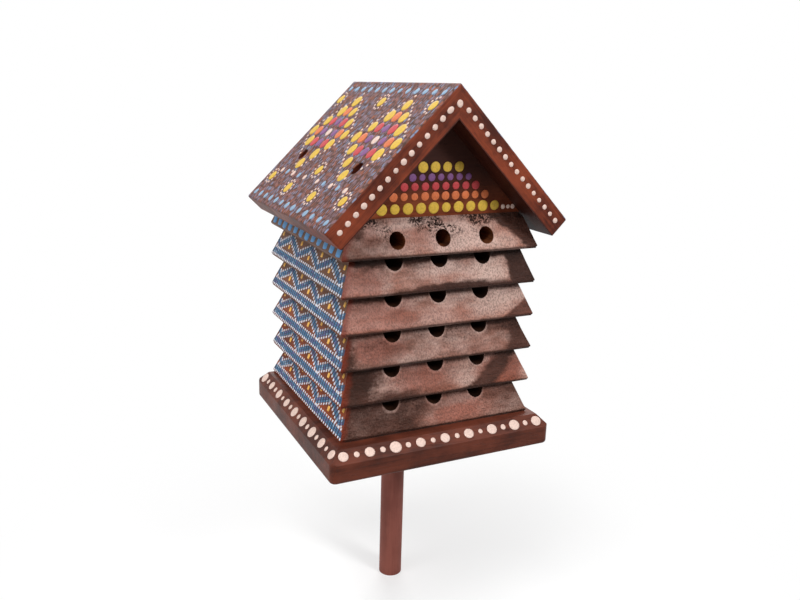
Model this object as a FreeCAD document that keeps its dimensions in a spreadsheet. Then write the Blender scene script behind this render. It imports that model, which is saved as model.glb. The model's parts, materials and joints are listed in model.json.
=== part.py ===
import FreeCAD, Part
import os
import re
import Sketcher

# Bee hotel on a stake, in millimetres. +Z is up and the front faces -Y.
# The origin is on the stake's axis, at the underside of the base plate.
# Five loose trays and a drilled nest block stack on the base. The grooves of a tray become nest tunnels
# under the next layer, and every layer lifts off its two locating dowels for cleaning.

Vector = FreeCAD.Vector
doc = FreeCAD.newDocument("bee_hotel")
sheet = doc.addObject("Spreadsheet::Sheet", "sizes")

# Driving dimensions, in millimetres and degrees
SIZES = {
    "base_width": 150.0,
    "base_depth": 150.0,
    "base_thickness": 19.0,
    "base_corner_radius": 4.0,
    "base_edge_radius": 2.0,
    "base_bevel_run": 6.4,
    "base_bevel_drop": 6.9,
    "base_bevel_easing": 1.0,
    "house_setback": 3.5,
    "tray_width": 131.0,
    "tray_depth": 133.0,
    "tray_height": 21.6,
    "tray_flare": 8.0,
    "tray_edge_radius": 0.8,
    "tunnel_diameter": 10.0,
    "tunnel_pitch": 29.5,
    "tunnel_end_wall": 18.0,
    "tunnel_height": 9.5,
    "groove_depth": 8.5,
    "dowel_diameter": 6.0,
    "dowel_spacing": 92.0,
    "dowel_seat": 9.0,
    "dowel_rise": 7.0,
    "pin_chamfer": 0.8,
    "glue_gap": 0.05,
    "slide_gap": 0.25,
    "hole_floor_gap": 0.5,
    "roof_angle": 45.0,
    "roof_thickness": 14.0,
    "roof_slope": 111.0,
    "roof_depth": 150.0,
    "roof_seat": 2.0,
    "roof_edge_radius": 1.2,
    "ridge_radius": 1.5,
    "gable_thickness": 21.5,
    "gable_setback": 1.5,
    "screw_diameter": 4.0,
    "screw_head_diameter": 7.6,
    "screw_head_height": 2.6,
    "screw_point": 4.0,
    "screw_bite": 16.0,
    "screw_hole_gap": 0.2,
    "recess_diameter": 9.0,
    "recess_depth": 4.5,
    "roof_screw_drop": 68.0,
    "gable_screw_spacing": 30.0,
    "base_screw_spacing": 92.0,
    "stake_diameter": 16.0,
    "stake_length": 200.0,
    "stake_point_length": 35.0,
    "stake_point_diameter": 5.0,
    "tenon_diameter": 12.0,
    "tenon_length": 12.0,
    "tenon_gap": 0.1,
}

for row, (alias, size) in enumerate(SIZES.items(), start=1):
    sheet.set(f"A{row}", alias)
    sheet.set(f"B{row}", str(size))
    sheet.setAlias(f"B{row}", alias)
doc.recompute()

# Layers of the house: five trays and the nest block on top of them
TRAY_COUNT = 5
TUNNELS_PER_LAYER = 3

# Millimetres within which two places count as the same
TOLERANCE = 0.001

# Formulas that more than one piece shares
STACK_TOP = f"(base_thickness + {TRAY_COUNT + 1} * tray_height)"
GABLE_HALF_WIDTH = "(tray_width / 2 - tray_flare - roof_seat)"
GABLE_HEIGHT = f"({GABLE_HALF_WIDTH} * tan(roof_angle))"
GABLE_OFFSET = "(tray_depth / 2 - tray_flare - gable_setback - gable_thickness / 2)"
RIDGE_HEIGHT = f"({STACK_TOP} + {GABLE_HEIGHT} + roof_thickness / cos(roof_angle))"
TUNNEL_RADIUS = "tunnel_diameter / 2"
PILOT_RADIUS = "(screw_diameter / 2 + glue_gap)"
PILOT_DEPTH = "(screw_bite + hole_floor_gap)"
CLEARANCE_RADIUS = "(screw_diameter / 2 + screw_hole_gap)"

NODES = []


def formula(text):
    """Put the sheet's name before each size in an expression."""
    return re.sub(r"[a-z_]+", lambda word: f"sizes.{word[0]}" if word[0] in SIZES else word[0], text)


def number(text):
    """Value of an expression at the sheet's sizes."""
    return float(sheet.evalExpression(formula(text)))


def bind(thing, path, text):
    """Drive a property by an expression."""
    thing.setExpression(path, formula(text))


def place(thing, x="0", y="0", z="0", turn_axis="0; 0; 1", turn="0"):
    """Drive a piece's placement by expressions."""
    bind(thing, "Placement", f"placement(vector({x}; {y}; {z}); rotation(vector({turn_axis}); {turn}))")


def node(thing, label):
    """Name a finished sub-part and list it for export."""
    thing.Label = label
    NODES.append(thing)
    return thing


def new_body(label):
    return node(doc.addObject("PartDesign::Body", label), label)


def origin_feature(body, role):
    return next(feature for feature in body.Origin.OriginFeatures if feature.Role == role)


def new_sketch(body, role, x="0", y="0", z="0", turn="0"):
    """Sketch on an origin plane, moved in its own axes and turned in its plane."""
    sketch = body.newObject("Sketcher::SketchObject", f"{body.Name}_sketch")
    sketch.AttachmentSupport = (origin_feature(body, role), [""])
    sketch.MapMode = "FlatFace"
    offset = f"placement(vector({x}; {y}; {z}); rotation(vector(0; 0; 1); {turn}))"
    bind(sketch, "AttachmentOffset", offset)
    return sketch


def fix_value(sketch, constraint, text):
    """Add a dimension that follows an expression."""
    index = sketch.addConstraint(constraint)
    bind(sketch, f"Constraints[{index}]", text)


def fix_point(sketch, curve, end, x, y):
    """Hold one point of a curve at expressions for its two coordinates."""
    fix_value(sketch, Sketcher.Constraint("DistanceX", -1, 1, curve, end, number(x)), x)
    fix_value(sketch, Sketcher.Constraint("DistanceY", -1, 1, curve, end, number(y)), y)


def outline(sketch, corners):
    """Closed outline through corners, anticlockwise.

    A corner is (x, y), or (x, y, centre x, centre y, radius) where an arc leads on to the next one.
    """
    count = len(corners)
    first = sketch.GeometryCount
    points = [Vector(number(corner[0]), number(corner[1]), 0) for corner in corners]
    for index, corner in enumerate(corners):
        start = points[index]
        end = points[(index + 1) % count]
        if len(corner) == 2:
            sketch.addGeometry(Part.LineSegment(start, end))
            continue
        centre = Vector(number(corner[2]), number(corner[3]), 0)
        whole = Part.Circle(centre, Vector(0, 0, 1), number(corner[4]))
        sketch.addGeometry(Part.ArcOfCircle(whole, whole.parameter(start), whole.parameter(end)))
    for index, corner in enumerate(corners):
        curve = first + index
        following = first + (index + 1) % count
        sketch.addConstraint(Sketcher.Constraint("Coincident", curve, 2, following, 1))
        fix_point(sketch, curve, 1, corner[0], corner[1])
        if len(corner) == 5:
            fix_value(sketch, Sketcher.Constraint("Radius", curve, number(corner[4])), corner[4])


def circle(sketch, x, y, radius):
    """Circle about a driven centre."""
    shape = Part.Circle(Vector(number(x), number(y), 0), Vector(0, 0, 1), number(radius))
    index = sketch.addGeometry(shape)
    fix_value(sketch, Sketcher.Constraint("Radius", index, number(radius)), radius)
    fix_point(sketch, index, 3, x, y)


def rectangle(sketch, half_width, half_height):
    """Rectangle about the sketch's origin."""
    outline(sketch, [
        (f"-{half_width}", f"-{half_height}"),
        (half_width, f"-{half_height}"),
        (half_width, half_height),
        (f"-{half_width}", half_height),
    ])


def pad(body, sketch, length, symmetric=False):
    feature = body.newObject("PartDesign::Pad", f"{body.Name}_pad")
    feature.Profile = sketch
    feature.SideType = "Symmetric" if symmetric else "One side"
    bind(feature, "Length", length)
    doc.recompute()
    return feature


def checked_cut(feature):
    """Recompute a cut and stop if it took nothing away."""
    before = feature.BaseFeature.Shape.Volume
    doc.recompute()
    if not feature.Shape.Volume < before:
        raise RuntimeError(f"{feature.Name} cuts nothing")
    return feature


def pocket(body, sketch, length, symmetric=False, upward=False):
    """Cut a sketch against its normal, or along it when upward."""
    feature = body.newObject("PartDesign::Pocket", f"{body.Name}_pocket")
    feature.Profile = sketch
    feature.SideType = "Symmetric" if symmetric else "One side"
    feature.Reversed = upward
    bind(feature, "Length", length)
    return checked_cut(feature)


def turned(body, sketch):
    """Solid turned about the sketch's vertical axis."""
    feature = body.newObject("PartDesign::Revolution", f"{body.Name}_turned")
    feature.Profile = sketch
    feature.ReferenceAxis = (sketch, ["V_Axis"])
    feature.Angle = 360
    doc.recompute()
    return feature


def turned_cut(body, sketch):
    """Cut turned about the sketch's vertical axis."""
    feature = body.newObject("PartDesign::Groove", f"{body.Name}_turned_cut")
    feature.Profile = sketch
    feature.ReferenceAxis = (sketch, ["V_Axis"])
    feature.Angle = 360
    return checked_cut(feature)


def row_pattern(body, originals, axis, length, copies, across=None):
    """Repeat features along an axis, and in rows across it where across gives (axis, length, copies)."""
    feature = body.newObject("PartDesign::LinearPattern", f"{body.Name}_row")
    feature.Originals = originals
    feature.Direction = (origin_feature(body, axis), [""])
    bind(feature, "Length", length)
    feature.Occurrences = copies
    if across:
        feature.Direction2 = (origin_feature(body, across[0]), [""])
        bind(feature, "Length2", across[1])
        feature.Occurrences2 = across[2]
    body.Tip = feature
    doc.recompute()
    return feature


def rounded(body, feature, chosen, radius):
    """Fillet the edges of a feature that a test chooses."""
    names = [f"Edge{index}" for index, edge in enumerate(feature.Shape.Edges, start=1) if chosen(edge)]
    fillet = body.newObject("PartDesign::Fillet", f"{body.Name}_rounding")
    fillet.Base = (feature, names)
    bind(fillet, "Radius", radius)
    doc.recompute()
    return fillet


def at_height(edge, height):
    """Whether an edge lies level at a height."""
    return edge.BoundBox.ZLength < TOLERANCE and abs(edge.BoundBox.ZMin - height) < TOLERANCE


def four_circles(sketch, half_x, half_y, radius):
    """Circles at the corners of a rectangle about the sketch's origin."""
    for x in (f"-{half_x}", half_x):
        for y in (f"-{half_y}", half_y):
            circle(sketch, x, y, radius)


def recessed_holes(body, half_x, half_y, thickness, centre_y="0"):
    """Four screw holes from below, each with a flat-bottomed recess for the head."""
    for radius, depth in (("recess_diameter / 2", "recess_depth"), (CLEARANCE_RADIUS, thickness)):
        holes = new_sketch(body, "XY_Plane", y=centre_y)
        four_circles(holes, half_x, half_y, radius)
        pocket(body, holes, depth, upward=True)


def base_plate():
    """Board with bevelled upper edges, a blind socket for the stake and recessed screw holes underneath."""
    body = new_body("base_plate")
    sketch = new_sketch(body, "XY_Plane")
    rectangle(sketch, "base_width / 2", "base_depth / 2")
    board = pad(body, sketch, "base_thickness")
    corners = rounded(body, board, lambda edge: edge.BoundBox.ZLength > TOLERANCE, "base_corner_radius")
    rounded(body, corners, lambda edge: at_height(edge, 0), "base_edge_radius")
    for plane, width, length in (("XZ_Plane", "base_width", "base_depth"),
                                 ("YZ_Plane", "base_depth", "base_width")):
        bevels = new_sketch(body, plane)
        for side in ("", "-"):
            outline(bevels, [
                (f"{side}{width} / 2", "base_thickness - base_bevel_drop"),
                (f"{side}{width} / 2", "base_thickness"),
                (f"{side}({width} / 2 - base_bevel_run)", "base_thickness"),
            ])
        bevelled = pocket(body, bevels, length, symmetric=True)
    bevel_foot = number("base_thickness - base_bevel_drop") - TOLERANCE
    rounded(body, bevelled, lambda edge: edge.BoundBox.ZMin > bevel_foot, "base_bevel_easing")
    socket = new_sketch(body, "XY_Plane")
    circle(socket, "0", "0", "tenon_diameter / 2 + tenon_gap")
    pocket(body, socket, "tenon_length + hole_floor_gap", upward=True)
    recessed_holes(body, "base_screw_spacing / 2", "base_screw_spacing / 2", "base_thickness",
                   centre_y="house_setback")


def stake():
    """Turned stake: tenon and shoulder at the top, blunt point at the foot."""
    body = new_body("stake")
    sketch = new_sketch(body, "XZ_Plane")
    outline(sketch, [
        ("0", "-stake_length"),
        ("stake_point_diameter / 2", "-stake_length"),
        ("stake_diameter / 2", "stake_point_length - stake_length"),
        ("stake_diameter / 2", "0"),
        ("tenon_diameter / 2", "0"),
        ("tenon_diameter / 2", "tenon_length - pin_chamfer"),
        ("tenon_diameter / 2 - pin_chamfer", "tenon_length"),
        ("0", "tenon_length"),
    ])
    turned(body, sketch)


def flared_board(body):
    """Board of one layer, wider at its foot than at its top on all four sides, with eased lower edges."""
    side_bevels = new_sketch(body, "XZ_Plane")
    outline(side_bevels, [
        ("-tray_width / 2", "0"),
        ("tray_width / 2", "0"),
        ("tray_width / 2 - tray_flare", "tray_height"),
        ("tray_flare - tray_width / 2", "tray_height"),
    ])
    pad(body, side_bevels, "tray_depth", symmetric=True)
    end_bevels = new_sketch(body, "YZ_Plane")
    for side in ("", "-"):
        outline(end_bevels, [
            (f"{side}tray_depth / 2", "0"),
            (f"{side}tray_depth / 2", "tray_height"),
            (f"{side}(tray_depth / 2 - tray_flare)", "tray_height"),
        ])
    board = pocket(body, end_bevels, "tray_width", symmetric=True)
    half_height = number("tray_height") / 2
    rounded(body, board, lambda edge: at_height(edge, 0) or edge.BoundBox.ZLength > half_height,
            "tray_edge_radius")


def dowel_sockets(body, radius, depth, height="0", upward=False):
    """Pair of blind holes for the locating dowels, from the top face or from below."""
    sketch = new_sketch(body, "XY_Plane", z=height)
    for x in ("-dowel_spacing / 2", "dowel_spacing / 2"):
        circle(sketch, x, "0", radius)
    pocket(body, sketch, depth, upward=upward)


def sockets_below(body):
    """Sockets that drop over the dowels of the layer beneath."""
    dowel_sockets(body, "dowel_diameter / 2 + slide_gap", "dowel_rise + hole_floor_gap", upward=True)


def nest_grooves(body):
    """Row of U-grooves in the top face, open at the front, with the round end of a ball-nosed cutter."""
    floor = f"tray_height - groove_depth + {TUNNEL_RADIUS}"
    section = new_sketch(body, "XZ_Plane", x="-tunnel_pitch", z="tray_depth / 2")
    outline(section, [
        (f"-{TUNNEL_RADIUS}", "tray_height"),
        (f"-{TUNNEL_RADIUS}", floor, "0", floor, TUNNEL_RADIUS),
        ("0", "tray_height - groove_depth", "0", floor, TUNNEL_RADIUS),
        (TUNNEL_RADIUS, floor),
        (TUNNEL_RADIUS, "tray_height"),
    ])
    run = pocket(body, section, f"tray_depth - tunnel_end_wall - {TUNNEL_RADIUS}")
    cutter = new_sketch(body, "XZ_Plane", x="-tunnel_pitch",
                        z=f"tunnel_end_wall + {TUNNEL_RADIUS} - tray_depth / 2")
    outline(cutter, [
        ("0", "tray_height - groove_depth", "0", floor, TUNNEL_RADIUS),
        (TUNNEL_RADIUS, floor),
        (TUNNEL_RADIUS, "tray_height"),
        ("0", "tray_height"),
    ])
    end = turned_cut(body, cutter)
    row_pattern(body, [run, end], "X_Axis", "2 * tunnel_pitch", TUNNELS_PER_LAYER)


def tray(layer):
    """Loose tray, or the lowest one, which is screwed to the base instead of standing on dowels."""
    body = new_body(f"tray_{layer}")
    flared_board(body)
    nest_grooves(body)
    dowel_sockets(body, "dowel_diameter / 2 + glue_gap", "dowel_seat + hole_floor_gap", height="tray_height")
    if layer > 1:
        sockets_below(body)
    else:
        pilots = new_sketch(body, "XY_Plane")
        four_circles(pilots, "base_screw_spacing / 2", "base_screw_spacing / 2", PILOT_RADIUS)
        pocket(body, pilots, PILOT_DEPTH, upward=True)
    place(body, y="house_setback", z=f"base_thickness + {layer - 1} * tray_height")


def dowels(layer):
    """Pair of locating dowels glued into the top of a tray."""
    body = new_body(f"dowels_{layer}")
    sketch = new_sketch(body, "XZ_Plane", x="-dowel_spacing / 2")
    outline(sketch, [
        ("0", "-dowel_seat"),
        ("dowel_diameter / 2 - pin_chamfer", "-dowel_seat"),
        ("dowel_diameter / 2", "pin_chamfer - dowel_seat"),
        ("dowel_diameter / 2", "dowel_rise - pin_chamfer"),
        ("dowel_diameter / 2 - pin_chamfer", "dowel_rise"),
        ("0", "dowel_rise"),
    ])
    pin = turned(body, sketch)
    row_pattern(body, [pin], "X_Axis", "dowel_spacing", 2)
    place(body, y="house_setback", z=f"base_thickness + {layer} * tray_height")


def nest_block():
    """Top layer with drilled tunnels and planed seats for the roof boards."""
    body = new_body("nest_block")
    flared_board(body)
    seats = new_sketch(body, "XZ_Plane")
    for side in ("", "-"):
        outline(seats, [
            (f"{side}{GABLE_HALF_WIDTH}", "tray_height"),
            (f"{side}tray_width / 2", "tray_height"),
            (f"{side}tray_width / 2", "tray_height - (tray_flare + roof_seat) * tan(roof_angle)"),
        ])
    pocket(body, seats, "tray_depth", symmetric=True)
    front = new_sketch(body, "XZ_Plane", x="-tunnel_pitch", z="tray_depth / 2")
    circle(front, "0", "tunnel_height", TUNNEL_RADIUS)
    tunnel = pocket(body, front, "tray_depth - tunnel_end_wall")
    row_pattern(body, [tunnel], "X_Axis", "2 * tunnel_pitch", TUNNELS_PER_LAYER)
    sockets_below(body)
    recessed_holes(body, "gable_screw_spacing / 2", GABLE_OFFSET, "tray_height")
    place(body, y="house_setback", z=f"base_thickness + {TRAY_COUNT} * tray_height")


def gable(label, side):
    """Triangular board under the roof, with pilot holes for the screws of the nest block and the roof."""
    body = new_body(label)
    face = new_sketch(body, "XZ_Plane")
    outline(face, [
        (f"-{GABLE_HALF_WIDTH}", "0"),
        (GABLE_HALF_WIDTH, "0"),
        ("0", GABLE_HEIGHT),
    ])
    pad(body, face, "gable_thickness", symmetric=True)
    foot = new_sketch(body, "XY_Plane")
    for x in ("-gable_screw_spacing / 2", "gable_screw_spacing / 2"):
        circle(foot, x, "0", PILOT_RADIUS)
    pocket(body, foot, PILOT_DEPTH, upward=True)
    drop = "(roof_screw_drop - roof_thickness * tan(roof_angle))"
    for slope, turn in (("", "-roof_angle"), ("-", "roof_angle")):
        pilot = new_sketch(body, "XZ_Plane", x=f"{slope}{drop} * cos(roof_angle)",
                           y=f"{GABLE_HEIGHT} - {drop} * sin(roof_angle)", turn=turn)
        outline(pilot, [
            ("0", f"-{PILOT_DEPTH}"),
            (PILOT_RADIUS, f"-{PILOT_DEPTH}"),
            (PILOT_RADIUS, "hole_floor_gap"),
            ("0", "hole_floor_gap"),
        ])
        turned_cut(body, pilot)
    place(body, y=f"house_setback {side} {GABLE_OFFSET}", z=STACK_TOP)


def roof_boards():
    """Two sloping boards, mitred under a rounded ridge, with recessed screw holes over the gables."""
    body = new_body("roof_right")
    ridge = "ridge_radius * tan(roof_angle)"
    profile = new_sketch(body, "XZ_Plane")
    outline(profile, [
        ("roof_thickness * tan(roof_angle)", "-roof_thickness"),
        ("roof_slope", "-roof_thickness"),
        ("roof_slope", "0"),
        (ridge, "0", ridge, "-ridge_radius", "ridge_radius"),
        (f"{ridge} - ridge_radius * sin(roof_angle)", "ridge_radius * cos(roof_angle) - ridge_radius"),
    ])
    board = pad(body, profile, "roof_depth", symmetric=True)
    eave = number("roof_slope")
    half_depth = number("roof_depth") / 2

    def outer_edge(edge):
        box = edge.BoundBox
        at_eave = box.XMin > eave - TOLERANCE
        at_end = box.YLength < TOLERANCE and abs(abs(box.YMin) - half_depth) < TOLERANCE
        return at_eave or (at_end and at_height(edge, 0))

    rounded(body, board, outer_edge, "roof_edge_radius")
    for radius, depth in (("recess_diameter / 2", "recess_depth"), (CLEARANCE_RADIUS, "roof_thickness")):
        holes = new_sketch(body, "XY_Plane")
        for y in (f"-{GABLE_OFFSET}", GABLE_OFFSET):
            circle(holes, "roof_screw_drop", y, radius)
        pocket(body, holes, depth)
    place(body, y="house_setback", z=RIDGE_HEIGHT, turn_axis="0; 1; 0", turn="roof_angle")
    mirrored("roof_left", body)


def mirrored(name, source):
    """Left-hand copy of a right-hand piece."""
    copy = doc.addObject("Part::Mirroring", name)
    copy.Source = source
    copy.Normal = Vector(1, 0, 0)
    return node(copy, name)


def screw(body, grip, x, y):
    """Dome-headed wood screw, its head's seat at height 0 and its point down."""
    length = f"({grip} + screw_bite)"
    head = "screw_head_diameter / 2"
    dome = f"(({head}) ^ 2 + screw_head_height ^ 2) / (2 * screw_head_height)"
    sketch = new_sketch(body, "XZ_Plane", x=x, z=f"-({y})")
    outline(sketch, [
        ("0", f"-{length}"),
        ("screw_diameter / 2", f"screw_point - {length}"),
        ("screw_diameter / 2", "0"),
        (head, "0", "0", f"screw_head_height - {dome}", dome),
        ("0", "screw_head_height"),
    ])
    return turned(body, sketch)


def screws_from_below(label, grip, spacing_x, spacing_y, seat_height):
    """Four screws that point up, at the corners of a rectangle about the house's centre."""
    body = new_body(label)
    first = screw(body, grip, f"-({spacing_x}) / 2", f"-({spacing_y}) / 2")
    row_pattern(body, [first], "X_Axis", spacing_x, 2, across=("Y_Axis", spacing_y, 2))
    place(body, y="house_setback", z=seat_height, turn_axis="1; 0; 0", turn="180")


def roof_screws():
    """Two screws through each roof board into the gables."""
    right = doc.addObject("PartDesign::Body", "roof_screws_right")
    first = screw(right, "(roof_thickness - recess_depth)", "roof_screw_drop", f"-{GABLE_OFFSET}")
    row_pattern(right, [first], "Y_Axis", f"2 * {GABLE_OFFSET}", 2)
    depth = "recess_depth"
    place(right, x=f"-{depth} * sin(roof_angle)", y="house_setback",
          z=f"{RIDGE_HEIGHT} - {depth} * cos(roof_angle)", turn_axis="0; 1; 0", turn="roof_angle")
    left = doc.addObject("Part::Mirroring", "roof_screws_left")
    left.Source = right
    left.Normal = Vector(1, 0, 0)
    group = doc.addObject("Part::Compound", "roof_screws")
    group.Links = [right, left]
    node(group, "roof_screws")


base_plate()
stake()
screws_from_below("base_screws", "(base_thickness - recess_depth)", "base_screw_spacing",
                  "base_screw_spacing", "recess_depth")
for layer in range(1, TRAY_COUNT + 1):
    tray(layer)
    dowels(layer)
nest_block()
gable("gable_front", "-")
gable("gable_back", "+")
roof_boards()
screws_from_below("gable_screws", "(tray_height - recess_depth)", "gable_screw_spacing",
                  f"2 * {GABLE_OFFSET}", f"base_thickness + {TRAY_COUNT} * tray_height + recess_depth")
roof_screws()
doc.recompute()

for thing in doc.Objects:
    if "Invalid" in thing.State or "Error" in thing.State:
        raise RuntimeError(f"{thing.Label} did not rebuild")
for thing in NODES:
    if thing.Shape.isNull() or not thing.Shape.isValid():
        raise RuntimeError(f"{thing.Label} has no valid shape")

os.makedirs("parts", exist_ok=True)
for thing in NODES:
    thing.Shape.exportStep(f"parts/{thing.Label}.step")
    box = thing.Shape.BoundBox
    print(f"{thing.Label}: {len(thing.Shape.Solids)} solids, {thing.Shape.Volume:.0f} cubic mm, "
          f"x {box.XMin:.1f} to {box.XMax:.1f}, y {box.YMin:.1f} to {box.YMax:.1f}, "
          f"z {box.ZMin:.1f} to {box.ZMax:.1f}")
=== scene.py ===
import json
import logging
import math
import random
from dataclasses import dataclass
from enum import Enum
from functools import cache
from typing import Any, Iterator, Sequence

import bmesh
import bpy
from mathutils import Matrix, Vector, noise


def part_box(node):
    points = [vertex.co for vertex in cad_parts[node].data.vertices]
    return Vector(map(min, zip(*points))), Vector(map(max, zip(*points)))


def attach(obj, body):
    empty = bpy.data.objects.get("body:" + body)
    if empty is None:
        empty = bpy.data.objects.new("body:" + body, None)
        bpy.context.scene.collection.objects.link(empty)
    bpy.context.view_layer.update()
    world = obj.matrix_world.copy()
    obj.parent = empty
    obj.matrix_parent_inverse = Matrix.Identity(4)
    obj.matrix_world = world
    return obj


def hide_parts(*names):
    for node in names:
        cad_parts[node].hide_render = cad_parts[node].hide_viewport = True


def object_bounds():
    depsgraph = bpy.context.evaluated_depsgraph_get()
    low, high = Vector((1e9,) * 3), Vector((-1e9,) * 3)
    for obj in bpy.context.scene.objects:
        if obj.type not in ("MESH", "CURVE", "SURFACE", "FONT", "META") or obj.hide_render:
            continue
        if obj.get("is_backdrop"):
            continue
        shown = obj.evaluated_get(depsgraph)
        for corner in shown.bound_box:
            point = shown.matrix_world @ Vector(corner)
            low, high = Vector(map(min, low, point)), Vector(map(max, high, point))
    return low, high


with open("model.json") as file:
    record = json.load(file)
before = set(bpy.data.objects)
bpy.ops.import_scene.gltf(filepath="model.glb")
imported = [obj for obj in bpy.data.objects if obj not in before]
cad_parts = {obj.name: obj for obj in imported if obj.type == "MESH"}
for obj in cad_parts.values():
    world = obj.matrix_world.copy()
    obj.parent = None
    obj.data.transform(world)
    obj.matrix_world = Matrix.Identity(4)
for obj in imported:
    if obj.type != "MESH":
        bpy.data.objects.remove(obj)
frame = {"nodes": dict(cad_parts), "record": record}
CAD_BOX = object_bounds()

Pair = tuple[float, float]
Triple = tuple[float, float, float]
Colour = Triple
Material = bpy.types.Material
Mesh = bpy.types.Mesh
Object = bpy.types.Object
Socket = bpy.types.NodeSocket
Tree = bpy.types.NodeTree
Draft = bmesh.types.BMesh

LOG = logging.getLogger("bee_hotel")
MM = 0.001
DIAGONAL = math.sqrt(2)
TUNNEL_PITCH = 29.5 * MM
TUNNEL_COLUMNS = (-TUNNEL_PITCH, 0.0, TUNNEL_PITCH)
TUNNEL_RADIUS = 5.0 * MM
GROOVE_DEPTH = 8.5 * MM

# Sockets that have no name of their own: Mix for colours, Random Value for floats, Compare for integers
MIX_FACTOR, MIX_FIRST, MIX_SECOND, MIX_RESULT = 0, 6, 7, 2
RANDOM_LOW, RANDOM_HIGH, RANDOM_VALUE = 2, 3, 1
COMPARE_FIRST, COMPARE_SECOND = 2, 3


def linear(value: int) -> float:
    """Linear share of one 8-bit display channel."""
    share = value / 255
    return share / 12.92 if share <= 0.04045 else ((share + 0.055) / 1.055) ** 2.4


def srgb(red: int, green: int, blue: int) -> Colour:
    """Linear colour of an 8-bit display colour."""
    return linear(red), linear(green), linear(blue)


class Nodes:
    """Shorthand for filling one node tree."""

    def __init__(self, tree: Tree) -> None:
        """Keep the tree that the methods add to."""
        self.tree = tree
        self.where: Any = None

    def add(self, kind: str, inputs: dict[str | int, Any] | None = None, **settings: Any) -> bpy.types.Node:
        """Add a node.

        Args:
            kind: the node's type name.
            inputs: what fills its inputs, by their names or indices.
            settings: properties to set on it.

        Returns:
            The new node.
        """
        node = self.tree.nodes.new(kind)
        for name, value in settings.items():
            setattr(node, name, value)
        for key, value in (inputs or {}).items():
            self.put(node.inputs[key], value)
        return node

    def put(self, socket: Socket, value: Any) -> None:
        """Fill an input.

        Args:
            socket: the input.
            value: an output to link it to, or a plain value; a colour may leave out its alpha.
        """
        if isinstance(value, Socket):
            self.tree.links.new(value, socket)
        elif socket.type == "RGBA" and len(value) == 3:
            socket.default_value = (*value, 1.0)
        else:
            socket.default_value = value

    def run(self, kind: str, output: str | int, inputs: dict[str | int, Any], **settings: Any) -> Socket:
        """Output of a new node with filled inputs."""
        return self.add(kind, inputs, **settings).outputs[output]

    def math(self, operation: str, first: Any, second: Any = 0.0) -> Socket:
        """Result of a Math node on one or two values."""
        return self.run("ShaderNodeMath", 0, {0: first, 1: second}, operation=operation)

    def times(self, first: Any, second: Any) -> Socket:
        """Product of two values."""
        return self.math("MULTIPLY", first, second)

    def minus(self, first: Any, second: Any) -> Socket:
        """Difference of two values."""
        return self.math("SUBTRACT", first, second)

    def larger(self, first: Any, second: Any) -> Socket:
        """Larger one of two values."""
        return self.math("MAXIMUM", first, second)

    def size(self, value: Any) -> Socket:
        """Value without its sign."""
        return self.math("ABSOLUTE", value)

    def total(self, *terms: tuple[Any, float], start: Any = 0.0) -> Socket:
        """Weighted sum of values.

        Args:
            terms: each value with its weight.
            start: what the terms are added to.

        Returns:
            The sum.
        """
        for value, weight in terms:
            start = self.math("ADD", self.times(value, weight), start)
        return start

    def vector(self, operation: str, first: Any, second: Any) -> Socket:
        """Vector that a Vector Math node makes of two vectors."""
        return self.run("ShaderNodeVectorMath", "Vector", {0: first, 1: second}, operation=operation)

    def length(self, vector: Any) -> Socket:
        """Length of a vector."""
        return self.run("ShaderNodeVectorMath", "Value", {0: vector}, operation="LENGTH")

    def split(self, vector: Any) -> tuple[Socket, ...]:
        """X, Y and Z of a vector."""
        return tuple(self.add("ShaderNodeSeparateXYZ", {0: vector}).outputs)

    def join(self, x: Any = 0.0, y: Any = 0.0, z: Any = 0.0) -> Socket:
        """Vector of three values."""
        return self.run("ShaderNodeCombineXYZ", 0, {0: x, 1: y, 2: z})

    def mix(self, factor: Any, first: Any, second: Any) -> Socket:
        """Colour between two colours."""
        inputs = {MIX_FACTOR: factor, MIX_FIRST: first, MIX_SECOND: second}
        return self.run("ShaderNodeMix", MIX_RESULT, inputs, data_type="RGBA")

    def step(self, value: Any, low: Any, high: Any) -> Socket:
        """Smooth change from 0 at low to 1 at high, which may be the smaller one."""
        inputs = {"Value": value, "From Min": low, "From Max": high}
        return self.run("ShaderNodeMapRange", "Result", inputs, interpolation_type="SMOOTHSTEP")

    def noise(self, waves: float | Triple, detail: float = 3.0, rough: float = 0.55) -> Socket:
        """Noise about 0.5 at the tree's coordinates.

        Args:
            waves: number of waves for each metre, one for all axes or one for each.
            detail: number of finer layers.
            rough: weight of the finer layers.

        Returns:
            The noise.
        """
        counts = waves if isinstance(waves, tuple) else (waves, waves, waves)
        inputs = {"Vector": self.vector("MULTIPLY", self.where, counts), "Scale": 1.0, "Detail": detail}
        return self.run("ShaderNodeTexNoise", "Fac", inputs | {"Roughness": rough})

    def group(self, tree: Tree, **values: Any) -> Any:
        """Outputs of a shared node group with its own input values, named without their capitals."""
        inputs = {name.capitalize(): value for name, value in ({"where": self.where} | values).items()}
        return self.add("ShaderNodeGroup", inputs, node_tree=tree).outputs


def new_group(name: str, inputs: dict[str, str], outputs: Sequence[str]) -> tuple[Nodes, Any, Any]:
    """Start a shader node group with coordinates as its first input.

    Args:
        name: the group's name.
        inputs: socket type of each further named input.
        outputs: names of its values.

    Returns:
        The tree's helper, its input node's outputs and its output node's inputs.
    """
    nodes = Nodes(bpy.data.node_groups.new(name, "ShaderNodeTree"))
    sockets = nodes.tree.interface
    for label, kind in ({"Where": "Vector"} | inputs).items():
        sockets.new_socket(name=label, in_out="INPUT", socket_type=f"NodeSocket{kind}")
    for label in outputs:
        sockets.new_socket(name=label, in_out="OUTPUT", socket_type="NodeSocketFloat")
    given = nodes.add("NodeGroupInput").outputs
    nodes.where = given["Where"]
    return nodes, given, nodes.add("NodeGroupOutput").inputs


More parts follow.
